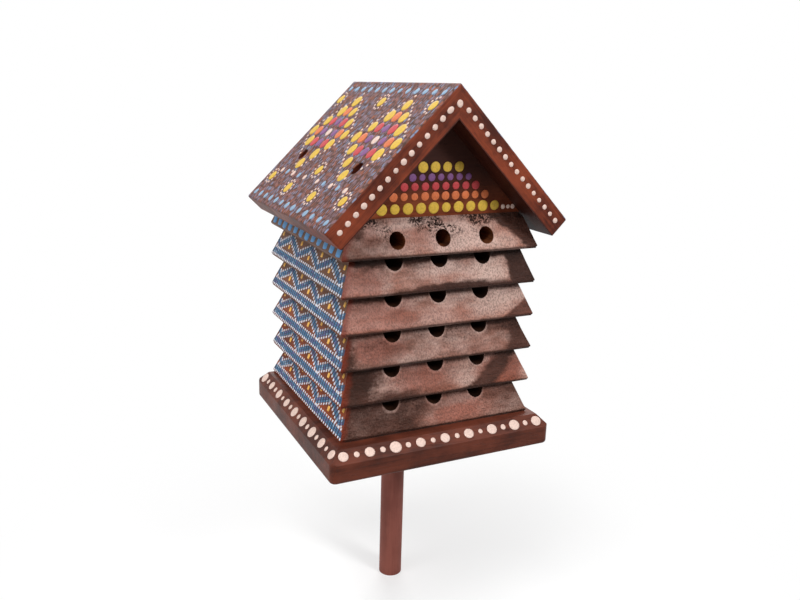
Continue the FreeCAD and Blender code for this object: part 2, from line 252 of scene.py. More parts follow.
@cache
def wood_grain() -> Tree:
    """Streaks, fibres and dark pores of wood whose grain runs along X.

    Returns:
        The group, made once.
    """
    nodes, _, result = new_group("wood_grain", {}, ("Streaks", "Fibres", "Pores"))
    pores = nodes.noise((150.0, 1700.0, 1700.0), detail=1.0)
    nodes.put(result["Streaks"], nodes.noise((14.0, 190.0, 190.0)))
    nodes.put(result["Fibres"], nodes.noise((60.0, 1300.0, 1300.0), detail=2.0))
    nodes.put(result["Pores"], nodes.step(pores, 0.62, 0.72))
    return nodes.tree


@cache
def worn_wash_and_sheen() -> Tree:
    """Cover of a thin pale coat, partly real paint and partly painted sheen, rubbed over the open pores of
    rough wood, with the pits that it missed.

    Returns:
        The group, made once.
    """
    sockets = {"Cover": "Float", "Pitting": "Float"}
    nodes, given, result = new_group("worn_wash_and_sheen", sockets, ("Wash", "Tooth", "Clouds", "Pits"))
    clouds = nodes.noise((45.0, 60.0, 100.0))
    strokes = nodes.noise((70.0, 260.0, 260.0))
    tooth = nodes.noise((1300.0, 1300.0, 650.0), detail=1.0)
    average = 1.15
    cover = nodes.minus(given["Cover"], average)
    rubbed = nodes.total((clouds, 1.0), (strokes, 0.8), (tooth, 0.5), start=cover)
    pits = nodes.math("ADD", nodes.noise(760.0, rough=0.75), given["Pitting"])
    patchy = nodes.step(nodes.noise(80.0, detail=1.0), 0.42, 0.58)
    nodes.put(result["Wash"], nodes.step(rubbed, -0.85, 0.85))
    nodes.put(result["Tooth"], nodes.step(tooth, 0.36, 0.56))
    nodes.put(result["Clouds"], clouds)
    nodes.put(result["Pits"], nodes.times(nodes.step(pits, 0.53, 0.60), patchy))
    return nodes.tree


@cache
def soft_patch() -> Tree:
    """Slanting patch about a centre, ragged by noise, that fades out over a share of its reach.

    Returns:
        The group, made once.
    """
    sockets = {"Centre": "Vector", "Reach": "Vector", "Slant": "Float", "Soft": "Float"}
    nodes, given, result = new_group("soft_patch", sockets, ("Mask",))
    across, _, up = nodes.split(nodes.vector("SUBTRACT", nodes.where, given["Centre"]))
    leaned = nodes.minus(across, nodes.times(up, given["Slant"]))
    distance = nodes.length(nodes.vector("DIVIDE", nodes.join(x=leaned, z=up), given["Reach"]))
    ragged = nodes.noise((130.0, 130.0, 220.0), detail=4.0, rough=0.65)
    ragged = nodes.times(nodes.minus(ragged, 0.5), given["Soft"])
    distance = nodes.total((ragged, 2.2), start=distance)
    outer = nodes.math("ADD", 1.0, given["Soft"])
    nodes.put(result["Mask"], nodes.step(distance, outer, nodes.minus(1.0, given["Soft"])))
    return nodes.tree


@cache
def mouth_rim() -> Tree:
    """Ring round the mouths of a tray's row of grooves.

    Returns:
        The group, made once.
    """
    nodes, given, result = new_group("mouth_rim", {"Height": "Float"}, ("Rim",))
    across, depth, up = nodes.split(nodes.where)
    column = nodes.math("ROUND", nodes.math("DIVIDE", across, TUNNEL_PITCH))
    column = nodes.larger(nodes.math("MINIMUM", column, 1.0), -1.0)
    across = nodes.minus(across, nodes.times(column, TUNNEL_PITCH))
    up = nodes.math("MINIMUM", nodes.minus(up, given["Height"]), 0.0)
    distance = nodes.total((nodes.noise(300.0), 2.0 * MM), start=nodes.length(nodes.join(x=across, z=up)))
    ring = nodes.step(distance, TUNNEL_RADIUS + 3.0 * MM, TUNNEL_RADIUS + 1.4 * MM)
    on_front = nodes.step(depth, 0.0, -1.0 * MM)
    nodes.put(result["Rim"], nodes.times(ring, on_front))
    return nodes.tree


class Surface(Nodes):
    """Material under way, with its shader and its Object coordinates."""

    def __init__(self, name: str, shine: float) -> None:
        """Start the material.

        Args:
            name: the material's name.
            shine: level of its mirror reflection.
        """
        self.material = bpy.data.materials.new(name)
        self.material.use_nodes = True
        super().__init__(self.material.node_tree)
        self.shader = self.tree.nodes["Principled BSDF"]
        self.shader.inputs["Specular IOR Level"].default_value = shine
        self.where = self.add("ShaderNodeTexCoord").outputs["Object"]

    def brushed(self, rough: float) -> Socket:
        """Roughness of a brushed varnish, in clouds about a mean value."""
        return self.total((self.noise(70.0, detail=4.0), 0.25), start=rough - 0.12)

    def finish(self, colour: Any, rough: Any, height: Any, depth: float) -> Material:
        """Feed the shader.

        Args:
            colour: its base colour.
            rough: its roughness.
            height: relief of the surface.
            depth: what one unit of height measures, in metres.

        Returns:
            The finished material.
        """
        bump = self.run("ShaderNodeBump", "Normal", {"Strength": 1.0, "Distance": depth, "Height": height})
        for name, value in (("Base Color", colour), ("Roughness", rough), ("Normal", bump)):
            self.put(self.shader.inputs[name], value)
        return self.material


@dataclass(frozen=True)
class Fade:
    """Change towards another colour from one height to another, over a ragged line."""

    start: float
    end: float
    colour: Colour
    share: float
    ragged: float = 8.0 * MM


@dataclass(frozen=True)
class Stain:
    """Stained and varnished wood; turn lays the grain along a direction."""

    name: str
    deep: Colour
    warm: Colour
    turn: Triple = (0.0, 0.0, 0.0)
    rough: float = 0.45
    shine: float = 0.14
    pore_depth: float = 0.10 * MM
    pore_shade: float = 0.35
    pores: float = 0.5
    fade: Fade | None = None

    def colour(self, skin: Surface) -> tuple[Socket, Socket]:
        """Stain's colour and relief.

        Args:
            skin: the material under way.

        Returns:
            Colour and height.
        """
        turned = skin.run("ShaderNodeMapping", "Vector", {"Vector": skin.where, "Rotation": self.turn},
                          vector_type="POINT")
        grain = skin.group(wood_grain(), where=turned)
        clouds = skin.noise(38.0, detail=4.0, rough=0.6)
        tone = skin.total((grain["Streaks"], 0.45), (grain["Fibres"], 0.25), (clouds, 0.75))
        colour = skin.mix(skin.step(tone, 0.56, 0.90), self.deep, self.warm)
        dark = tuple(self.pore_shade * channel for channel in self.deep)
        colour = skin.mix(skin.times(grain["Pores"], self.pores), colour, dark)
        if self.fade:
            middle = self.fade.ragged / 2
            height = skin.total((skin.noise(60.0), self.fade.ragged), start=skin.split(skin.where)[2])
            amount = skin.step(height, self.fade.start + middle, self.fade.end + middle)
            colour = skin.mix(skin.times(amount, self.fade.share), colour, self.fade.colour)
        return colour, skin.total((grain["Fibres"], 0.5), (grain["Pores"], -1.0))

    def material(self) -> Material:
        """Plain stained wood.

        Returns:
            The material.
        """
        skin = Surface(self.name, self.shine)
        colour, height = self.colour(skin)
        return skin.finish(colour, skin.brushed(self.rough), height, self.pore_depth)


class WearAndLight(Enum):
    """What happened to the pale coat at a patch of a layer's front; pale patches partly paint sheen, and some
    bare ones paint the roof's cast shadow and the shade under an overhang.
    """

    BARE = "bare"
    RED = "red"
    PALE = "pale"


@dataclass(frozen=True)
class Patch:
    """Patch on a layer's front: place and reach across and up from the layer's foot, in millimetres."""

    wear_and_light: WearAndLight
    across: float
    up: float
    reach_across: float
    reach_up: float
    slant: float = 0.0
    strength: float = 1.0
    soft: float = 5.0
    softest_share: float = 0.6

    @property
    def soft_share(self) -> float:
        """Share of the patch's shorter reach over which it fades out."""
        return min(self.softest_share, self.soft / min(self.reach_across, self.reach_up))


def beyond(wear_and_light: WearAndLight, across: float, up: float, slant: float, strength: float = 1.0,
           soft: float = 3.0) -> Patch:
    """Patch over all of a front to the right of a slanting line through a place, in millimetres."""
    width, height = 60.0, 400.0
    return Patch(wear_and_light, across + width, up, width, height, slant, strength, soft)


@dataclass(frozen=True)
class WashAndSheenFront:
    """Carved front of a layer: stain under a worn pale coat that is partly real paint and partly painted
    sheen, with bare, red and pale patches and painted shade under the layer above and along the lip.
    """

    name: str
    cover: float
    patches: tuple[Patch, ...]
    specks: float = 0.25
    pitting: float = 0.0
    bare_and_shade_dark: float = 0.0
    rims: float = 0.0
    # strength of the painted shade under the layer above; its reach and the lip's reach follow below
    overhang: float = 1.0
    pale: Colour = srgb(216, 176, 162)
    pink: Colour = srgb(188, 123, 101)
    red: Colour = srgb(164, 81, 56)
    white: Colour = srgb(224, 192, 178)
    stain: Stain = Stain("front_stain", srgb(58, 34, 25), srgb(88, 54, 44))
    corner: Colour = srgb(116, 44, 25)
    # dark colour of the painted shade, of the darkened bare patches and of the missed pits
    dark: Colour = srgb(35, 22, 18)
    half: float = 65.15 * MM
    lean: float = 8.0 / 21.6
    overhang_reach: float = 6.0 * MM
    lip_reach: float = 2.4 * MM
    pitting_from: float = 8.0 * MM
    specks_from: float = 5.0 * MM
    specks_full: float = 16.0 * MM
    corner_reach: Pair = (8.5 * MM, 3.5 * MM)
    corner_ragged: float = 6.0 * MM
    relief_depth: float = 0.4 * MM
    shine: float = 0.12
    coat: float = 0.3
    coat_rough: float = 0.42

    def mask(self, skin: Surface, foot: float, wear_and_light: WearAndLight) -> Any:
        """Joint mask of the patches of one kind.

        Args:
            skin: the material under way.
            foot: height of the layer's foot.
            wear_and_light: the kind.

        Returns:
            The mask, or 0 where the front has no such patch.
        """
        joint: Any = 0.0
        for patch in self.patches:
            if patch.wear_and_light is wear_and_light:
                centre = (patch.across * MM, 0.0, foot + patch.up * MM)
                reach = (patch.reach_across * MM, 1.0, patch.reach_up * MM)
                spot = skin.group(soft_patch(), centre=centre, reach=reach, slant=patch.slant,
                                  soft=patch.soft_share)["Mask"]
                joint = skin.larger(skin.times(spot, patch.strength), joint)
        return joint

    def varnish(self, skin: Surface, foot: float) -> Socket:
        """Mask of the side's varnish that runs over the front's left edge.

        Args:
            skin: the material under way.
            foot: height of the layer's foot.

        Returns:
            The mask.
        """
        across, _, up = skin.split(skin.where)
        inside = skin.total((skin.minus(up, foot), self.lean), start=skin.size(across))
        ragged = skin.total((skin.noise(150.0), self.corner_ragged), start=skin.minus(self.half, inside))
        on_left = skin.step(across, 0.0, -1.0 * MM)
        return skin.times(skin.step(ragged, *self.corner_reach), on_left)

    def material(self, foot: float, top: float) -> Material:
        """Material of this layer's front.

        Args:
            foot: height of the layer's foot.
            top: height of its top.

        Returns:
            The material.
        """
        skin = Surface(self.name, self.shine)
        ground, height = self.stain.colour(skin)
        bare, red, pale = (self.mask(skin, foot, wear_and_light) for wear_and_light in WearAndLight)
        up = skin.split(skin.where)[2]
        rim = skin.group(mouth_rim(), height=top - GROOVE_DEPTH + TUNNEL_RADIUS)["Rim"]
        rim = skin.times(rim, self.rims)
        # Painted shade: darker, with less of the pale cover, towards the top under the overhang of the layer
        # above and along the lip at the foot
        under = skin.times(skin.step(up, top - self.overhang_reach, top), self.overhang)
        shade = skin.larger(under, skin.step(up, foot + self.lip_reach, foot))
        cover = skin.total((bare, -1.7), (pale, 0.5), (shade, -0.7), (rim, 0.7), start=self.cover)
        pitting = skin.times(skin.step(up, foot + self.pitting_from, top), self.pitting)
        # Pale cover: partly real pale paint, partly painted sheen of the varnish on the carved front
        wash_and_sheen = skin.group(worn_wash_and_sheen(), cover=cover, pitting=pitting)
        paint = skin.mix(skin.step(wash_and_sheen["Clouds"], 0.30, 0.68), self.pink, self.pale)
        paint = skin.mix(skin.times(skin.larger(pale, rim), 0.7), paint, self.white)
        paint = skin.mix(skin.times(red, 0.85), paint, self.red)
        colour = skin.mix(wash_and_sheen["Wash"], ground, paint)
        pores = skin.times(skin.minus(1.0, wash_and_sheen["Tooth"]), wash_and_sheen["Wash"])
        colour = skin.mix(skin.times(pores, 0.45), colour, ground)
        colour = skin.mix(skin.total((shade, 0.6), start=0.12), colour, self.dark)
        # Bare patches darkened further; on tray 5 this is partly painted shade under the nest block's
        # overhang
        colour = skin.mix(skin.times(bare, self.bare_and_shade_dark), colour, self.dark)
        high = skin.step(up, foot + self.specks_from, foot + self.specks_full)
        missed = skin.times(skin.times(wash_and_sheen["Pits"], high), self.specks)
        colour = skin.mix(missed, colour, self.dark)
        colour = skin.mix(skin.times(self.varnish(skin, foot), 0.85), colour, self.corner)
        coated = skin.larger(skin.minus(wash_and_sheen["Wash"], missed), 0.0)
        skin.put(skin.shader.inputs["Coat Weight"], skin.times(coated, self.coat))
        skin.put(skin.shader.inputs["Coat Roughness"], self.coat_rough)
        rough = skin.total((wash_and_sheen["Tooth"], 0.12), (missed, 0.4), start=0.38)
        dents = skin.noise((150.0, 150.0, 220.0), detail=2.0)
        wrinkles = skin.noise((420.0, 420.0, 700.0), detail=2.0, rough=0.6)
        relief = skin.total((height, 0.2), (wash_and_sheen["Tooth"], 0.3), (dents, 4.0), (wrinkles, 2.4),
                            (wash_and_sheen["Pits"], -0.4))
        return skin.finish(colour, rough, relief, self.relief_depth)


@dataclass(frozen=True)
class Ribbon:
    """Painted lines on a tray's side: a rail along the lip and a zigzag above it, up the slanting face."""

    rail: float = 4.4 * MM
    low: float = 9.4 * MM
    high: float = 17.6 * MM
    period: float = 37.0 * MM
    half_width: float = 1.9 * MM

    @property
    def climb(self) -> float:
        """Rise of the zigzag for each unit across."""
        return (self.high - self.low) / (self.period / 2)


@dataclass(frozen=True)
class PaintedSide:
    """Stained side of the trays under a blue rail and a blue zigzag on each tray."""

    name: str
    stain: Stain
    foot: float
    pitch: float
    middle: float
    slant: float
    ribbon: Ribbon = Ribbon()
    blue: Colour = srgb(50, 74, 100)
    grey: Colour = srgb(66, 68, 90)
    ragged: float = 0.8 * MM
    soft: float = 0.3 * MM
    shine: float = 0.12
    relief_depth: float = 0.12 * MM

    def material(self) -> Material:
        """Material of all the trays' side faces.

        Returns:
            The material.
        """
        skin = Surface(self.name, self.shine)
        wood, height = self.stain.colour(skin)
        _, depth, level = skin.split(skin.where)
        across = skin.minus(depth, self.middle)
        above = skin.math("MODULO", skin.minus(level, self.foot), self.pitch)
        up = skin.times(above, self.slant)
        wave = skin.math("PINGPONG", across, self.ribbon.period / 2)
        crest = skin.total((wave, -self.ribbon.climb), start=self.ribbon.high)
        lean = math.cos(math.atan(self.ribbon.climb))
        zigzag = skin.times(skin.size(skin.minus(up, crest)), lean)
        rail = skin.size(skin.minus(up, self.ribbon.rail))
        uneven = skin.noise(500.0)
        distance = skin.total((uneven, self.ragged), start=skin.math("MINIMUM", zigzag, rail))
        edge = self.ribbon.half_width + self.ragged / 2
        painted = skin.step(distance, edge + self.soft, edge - self.soft)
        paint = skin.mix(skin.step(skin.noise(120.0), 0.4, 0.6), self.blue, self.grey)
        rough = skin.total((uneven, 0.2), start=0.4)
        relief = skin.total((height, 0.6), (painted, 0.6))
        return skin.finish(skin.mix(painted, wood, paint), rough, relief, self.relief_depth)


@dataclass(frozen=True)
class RoofFinish:
    """Stained roof board whose outer face is filled with short painted strokes, and whose underside is
    darkened as painted shade.
    """

    name: str
    ridge: float
    thickness: float
    stain: Stain
    strokes: tuple[Colour, ...] = (srgb(108, 74, 66), srgb(128, 142, 170), srgb(138, 110, 117),
                                   srgb(160, 94, 70), srgb(120, 98, 105))
    gap: Colour = srgb(80, 54, 47)
    stroke_width: float = 1.25 * MM
    stroke_length: float = 3.6 * MM
    paint_depth: float = 0.5 * MM
    paint_end: float = 0.8 * MM
    # colour of the painted shade on the board's underside
    inside: Colour = srgb(40, 18, 14)
    rough: float = 0.48
    shine: float = 0.15
    relief_depth: float = 0.12 * MM

    def strokes_over(self, skin: Surface, depth: Socket, down: Socket) -> tuple[Socket, Socket]:
        """Pattern of the painted strokes.

        Args:
            skin: the material under way.
            depth: place along the ridge.
            down: place down the slope, times the square root of two.

        Returns:
            Mask of the strokes, and the colour of strokes and gaps.
        """
        grid = skin.join(x=skin.math("DIVIDE", depth, self.stroke_width),
                         y=skin.math("DIVIDE", down, self.stroke_length * DIAGONAL))
        cell = skin.add("ShaderNodeTexVoronoi", {"Vector": grid, "Scale": 1.0, "Randomness": 0.75},
                        voronoi_dimensions="2D").outputs
        chance = skin.split(cell["Color"])[0]
        paint: Any = self.strokes[0]
        for index, colour in enumerate(self.strokes[1:], start=1):
            paint = skin.mix(skin.math("GREATER_THAN", chance, index / len(self.strokes)), paint, colour)
        dash = skin.step(cell["Distance"], 0.58, 0.36)
        return dash, skin.mix(skin.times(dash, 0.85), self.gap, paint)

    def material(self) -> Material:
        """Material of one board.

        Returns:
            The material.
        """
        skin = Surface(self.name, self.shine)
        wood, height = self.stain.colour(skin)
        across, depth, up = skin.split(skin.where)
        side = skin.size(across)
        fall = skin.minus(self.ridge, up)
        dash, paint = self.strokes_over(skin, depth, skin.math("ADD", side, fall))
        depth_in = skin.minus(fall, side)
        outer = skin.step(depth_in, self.paint_end * DIAGONAL, self.paint_depth * DIAGONAL)
        # Painted shade: the board darkens towards its underside
        inner = (self.thickness - self.paint_depth) * DIAGONAL
        soffit_shade = skin.step(depth_in, inner - self.paint_depth, inner)
        wood = skin.mix(skin.times(soffit_shade, 0.8), wood, self.inside)
        rough = skin.total((outer, 0.15), start=skin.brushed(self.rough))
        relief = skin.total((height, 0.6), (skin.times(dash, outer), 0.8))
        return skin.finish(skin.mix(outer, wood, paint), rough, relief, self.relief_depth)


@dataclass(frozen=True)
class Lacquer:
    """Thick dot paint with a soft gloss and a little unevenness."""

    name: str
    colour: Colour
    shine: float = 0.3
    shade: float = 0.84
    relief_depth: float = 0.05 * MM

    def material(self) -> Material:
        """Material of the paint.

        Returns:
            The material.
        """
        skin = Surface(self.name, self.shine)
        mottle = skin.noise(900.0)
        shade = tuple(self.shade * channel for channel in self.colour)
        colour = skin.mix(skin.step(mottle, 0.60, 0.38), self.colour, shade)
        return skin.finish(colour, skin.total((mottle, 0.2), start=0.4), mottle, self.relief_depth)


class Paint(Enum):
    """Colours of the painted dots and dashes."""

    CREAM = Lacquer("paint_cream", srgb(233, 204, 191))
    WHITE = Lacquer("paint_white", srgb(226, 228, 238))
    YELLOW = Lacquer("paint_yellow", srgb(224, 184, 68))
    AMBER = Lacquer("paint_amber", srgb(250, 192, 92))
    ORANGE = Lacquer("paint_orange", srgb(220, 118, 70))
    RED = Lacquer("paint_red", srgb(198, 68, 72))
    PURPLE = Lacquer("paint_purple", srgb(128, 82, 134))
    BLUE = Lacquer("paint_blue", srgb(98, 160, 216))
    TEAL = Lacquer("paint_teal", srgb(84, 128, 164))
    INDIGO = Lacquer("paint_indigo", srgb(104, 109, 154))
    SKY = Lacquer("paint_sky", srgb(142, 171, 198))


PAINT_ORDER = tuple(Paint)


@dataclass(frozen=True)
class Facet:
    """Flat painted face: a centre with directions across, up and out of it."""

    centre: Vector
    across: Vector
    up: Vector

    @property
    def out(self) -> Vector:
        """Direction out of the face."""
        return self.across.cross(self.up).normalized()

    def point(self, across: float, up: float) -> Vector:
        """Point on the face."""
        return self.centre + self.across * across + self.up * up


@dataclass(frozen=True)
class Mark:
    """One dot or dash of paint."""

    place: Vector
    out: Vector
    along: Vector
    length: float
    width: float
    paint: Paint


def marks_tree() -> Tree:
    """Geometry nodes that set a drop of paint on every vertex of a mesh.

    Returns:
        The tree.
    """
    tree = bpy.data.node_groups.new("painted_marks", "GeometryNodeTree")
    sockets = {"Marks": "Geometry", "Segments": "Int", "Rings": "Int", "Square": "Float", "Height": "Float",
               "Size jitter": "Float", "Turn jitter": "Float", "Seed": "Int"}
    sockets |= {paint.name: "Material" for paint in PAINT_ORDER}
    for name, kind in sockets.items():
        tree.interface.new_socket(name=name, in_out="INPUT", socket_type=f"NodeSocket{kind}")
    tree.interface.new_socket(name="Paint", in_out="OUTPUT", socket_type="NodeSocketGeometry")
    nodes = Nodes(tree)
    given = nodes.add("NodeGroupInput").outputs

    def attribute(name: str, kind: str = "FLOAT_VECTOR") -> Socket:
        """Output of a named attribute."""
        return nodes.run("GeometryNodeInputNamedAttribute", "Attribute", {"Name": name}, data_type=kind)

    def chance(low: Any, high: Any, offset: float) -> Socket:
        """Random value of each mark, with its own offset of the seed."""
        inputs = {RANDOM_LOW: low, RANDOM_HIGH: high, "Seed": nodes.math("ADD", given["Seed"], offset)}
        return nodes.run("FunctionNodeRandomValue", RANDOM_VALUE, inputs, data_type="FLOAT")

    drop = nodes.run("GeometryNodeMeshUVSphere", "Mesh", {key: given[key] for key in ("Segments", "Rings")})
    across, along, _ = nodes.split(nodes.add("GeometryNodeInputPosition").outputs[0])
    reach = nodes.length(nodes.join(x=across, y=along))
    least = 0.001
    longest = nodes.larger(nodes.larger(nodes.size(across), nodes.size(along)), least)
    push = nodes.times(nodes.minus(nodes.math("DIVIDE", reach, longest), 1.0), given["Square"])
    offset = nodes.join(x=nodes.times(across, push), y=nodes.times(along, push))
    drop = nodes.run("GeometryNodeSetPosition", "Geometry", {"Geometry": drop, "Offset": offset})
    drop = nodes.run("GeometryNodeSetShadeSmooth", "Geometry", {"Geometry": drop})
    points = nodes.run("GeometryNodeMeshToPoints", "Points", {"Mesh": given["Marks"]})
    turn = nodes.run("FunctionNodeAxesToRotation", 0, {0: attribute("out"), 1: attribute("along")},
                     primary_axis="Z", secondary_axis="X")
    jitter = given["Turn jitter"]
    angle = chance(nodes.times(jitter, -1.0), jitter, 1.0)
    spin = nodes.run("FunctionNodeAxisAngleToRotation", 0, {"Axis": (0.0, 0.0, 1.0), "Angle": angle})
    turn = nodes.run("FunctionNodeRotateRotation", 0, {0: turn, 1: spin}, rotation_space="LOCAL")
    jitter = given["Size jitter"]
    scale = chance(nodes.minus(1.0, jitter), nodes.math("ADD", 1.0, jitter), 2.0)
    size = nodes.run("ShaderNodeVectorMath", "Vector", {0: attribute("size"), "Scale": scale},
                     operation="SCALE")
    size = nodes.vector("ADD", size, nodes.join(z=given["Height"]))
    inputs = {"Points": points, "Instance": drop, "Rotation": turn, "Scale": size}
    placed = nodes.run("GeometryNodeInstanceOnPoints", "Instances", inputs)
    done = nodes.run("GeometryNodeRealizeInstances", "Geometry", {"Geometry": placed})
    for index, paint in enumerate(PAINT_ORDER):
        inputs = {COMPARE_FIRST: attribute("paint", "INT"), COMPARE_SECOND: index}
        same = nodes.run("FunctionNodeCompare", "Result", inputs, data_type="INT", operation="EQUAL")
        inputs = {"Geometry": done, "Selection": same, "Material": given[paint.name]}
        done = nodes.run("GeometryNodeSetMaterial", "Geometry", inputs)
    nodes.add("NodeGroupOutput", {0: done})
    return tree


def link_object(name: str, data: bpy.types.ID) -> Object:
    """Add an object to the scene.

    Args:
        name: the object's name.
        data: its mesh, light or camera.

    Returns:
        The object.
    """
    item = bpy.data.objects.new(name, data)
    bpy.context.collection.objects.link(item)
    return item


def plain_mesh(source: Object) -> Mesh:
    """Mesh of an object with its modifiers applied.

    Args:
        source: the object, which is removed.

    Returns:
        The mesh.
    """
    evaluated = source.evaluated_get(bpy.context.evaluated_depsgraph_get())
    mesh = bpy.data.meshes.new_from_object(evaluated)
    bpy.data.objects.remove(source)
    return mesh


def add_piece(name: str, mesh: Mesh, body: str, slot: str) -> Object:
    """Add a finished mesh as a piece of a body.

    Args:
        name: the piece's name.
        mesh: its mesh, in the frame's own coordinates.
        body: the body that it rides on.
        slot: the record's material slot that it belongs to; not used.

    Returns:
        The piece's object.
    """
    piece = link_object(name, mesh)
    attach(piece, body)
    LOG.info("%s: %d faces on %s", name, len(mesh.polygons), body)
    return piece


class Drop(Enum):
    """Shape of a drop of paint: segments, rings and squareness."""

    DOT = (16, 7, 0.0)
    DASH = (8, 5, 0.7)


@dataclass
class Painter:
    """Turns marks into painted pieces."""

    height: float = 0.32 * MM
    size_jitter: float = 0.10
    turn_jitter: float = 0.12

    def __post_init__(self) -> None:
        """Make the tree and the paints once."""
        self.tree = marks_tree()
        self.paints = {paint.name: paint.value.material() for paint in PAINT_ORDER}

    def paint(self, name: str, body: str, slot: str, marks: Sequence[Mark], drop: Drop, seed: int) -> None:
        """Make a painted piece.

        Args:
            name: the piece's name.
            body: the body that it rides on.
            slot: the record's material slot that it belongs to.
            marks: its dots and dashes.
            drop: how round each mark is.
            seed: start of its random sizes and turns.
        """
        mesh = bpy.data.meshes.new(f"{name}_marks")
        mesh.from_pydata([mark.place for mark in marks], [], [])
        columns = {"out": [mark.out for mark in marks], "along": [mark.along for mark in marks],
                   "size": [(mark.length / 2, mark.width / 2, 0.0) for mark in marks]}
        for label, vectors in columns.items():
            layer = mesh.attributes.new(label, "FLOAT_VECTOR", "POINT")
            layer.data.foreach_set("vector", [part for vector in vectors for part in vector])
        layer = mesh.attributes.new("paint", "INT", "POINT")
        layer.data.foreach_set("value", [PAINT_ORDER.index(mark.paint) for mark in marks])
        source = link_object(f"{name}_source", mesh)
        modifier = source.modifiers.new("marks", "NODES")
        modifier.node_group = self.tree
        segments, rings, square = drop.value
        values = {"Segments": segments, "Rings": rings, "Square": square, "Height": self.height, "Seed": seed,
                  "Size jitter": self.size_jitter, "Turn jitter": self.turn_jitter, **self.paints}
        for item in self.tree.interface.items_tree:
            if item.name in values:
                modifier[item.identifier] = values[item.name]
        add_piece(name, plain_mesh(source), body, slot)


def row(facet: Facet, start: Pair, end: Pair, count: int,
        size: Pair, paint: Paint, along: Vector | None = None) -> Iterator[Mark]:
    """Evenly spaced marks on a face.

    Args:
        facet: the painted face.
        start: first mark, across and up.
        end: last mark, across and up.
        count: number of marks.
        size: a mark's length along its own direction and its width.
        paint: its colour.
        along: direction of a mark; the row's own when left out.

    Yields:
        The marks from start to end.
    """
    first = facet.point(*start)
    last = facet.point(*end)
    direction = along or (last - first).normalized()
    for index in range(count):
        share = index / max(count - 1, 1)
        yield Mark(first.lerp(last, share), facet.out, direction, *size, paint)


class Tunnels(Enum):
    """How a layer's nest tunnels are made."""

    GROOVES = "grooves"
    BORES = "bores"


def loft(draft: Draft, outlines: Sequence[Sequence[Vector]]) -> None:
    """Add a closed skin through outlines of the same count, with a flat face at both ends.

    Args:
        draft: the mesh that it is added to.
        outlines: points of each outline in turn, all in the same sense.
    """
    rings = [[draft.verts.new(point) for point in outline] for outline in outlines]
    for near, far in zip(rings, rings[1:]):
        for index in range(len(near)):
            following = (index + 1) % len(near)
            draft.faces.new((near[index], near[following], far[following], far[index]))
    draft.faces.new(list(reversed(rings[0])))
    draft.faces.new(rings[-1])


def finished_mesh(draft: Draft, name: str) -> Mesh:
    """Turn a draft into a mesh.

    Args:
        draft: the draft, which is freed.
        name: the mesh's name.

    Returns:
        The mesh.
    """
    mesh = bpy.data.meshes.new(name)
    draft.to_mesh(mesh)
    draft.free()
    return mesh


def turns(count: int) -> list[float]:
    """Angles that share a full turn evenly."""
    return [2 * math.pi * index / count for index in range(count)]


def quarter_turns(count: int) -> Matrix:
    """Turn about the upright axis by a number of right angles."""
    return Matrix.Rotation(count * math.pi / 2, 3, "Z")


def straight(radius: float, low: float, high: float) -> tuple[Pair, ...]:
    """Steps of a hole that keeps its radius from a low to a high height."""
    return (low, radius), (high, radius)


def slot_of(node: str) -> str:
    """Record's material slot of a node."""
    return next(part["material_slot"] for part in frame["record"]["subparts"] if part["node"] == node)


def body_of(node: str) -> str:
    """Body that holds a node."""
    return next(body for body, nodes in frame["record"]["behaviour"]["bodies"].items() if node in nodes)


@dataclass(frozen=True)
class RoundHoles:
    """Holes on the axes of a node's dowels or screws, as heights above a layer's foot with a radius each."""

    node: str
    pin_radius: float
    steps: tuple[Pair, ...]
    segments: int = 24

    def axes(self) -> list[Pair]:
        """Places of the node's two or four pins.

        Returns:
            Across and along of each axis.
        """
        low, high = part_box(self.node)
        middle = (low + high) / 2
        reach = (high - low) / 2 - Vector((self.pin_radius, self.pin_radius, 0))
        lines = (-reach.y, reach.y) if reach.y > self.pin_radius else (0.0,)
        return [(middle.x + across, middle.y + along) for across in (-reach.x, reach.x) for along in lines]

    def cut(self, draft: Draft, foot: float) -> None:
        """Add the holes to a cutter.

        Args:
            draft: the cutter's mesh.
            foot: height of the layer's foot.
        """
        for across, along in self.axes():
            loft(draft, [[Vector((across + radius * math.cos(a), along + radius * math.sin(a), foot + height))
                          for a in turns(self.segments)] for height, radius in self.steps])


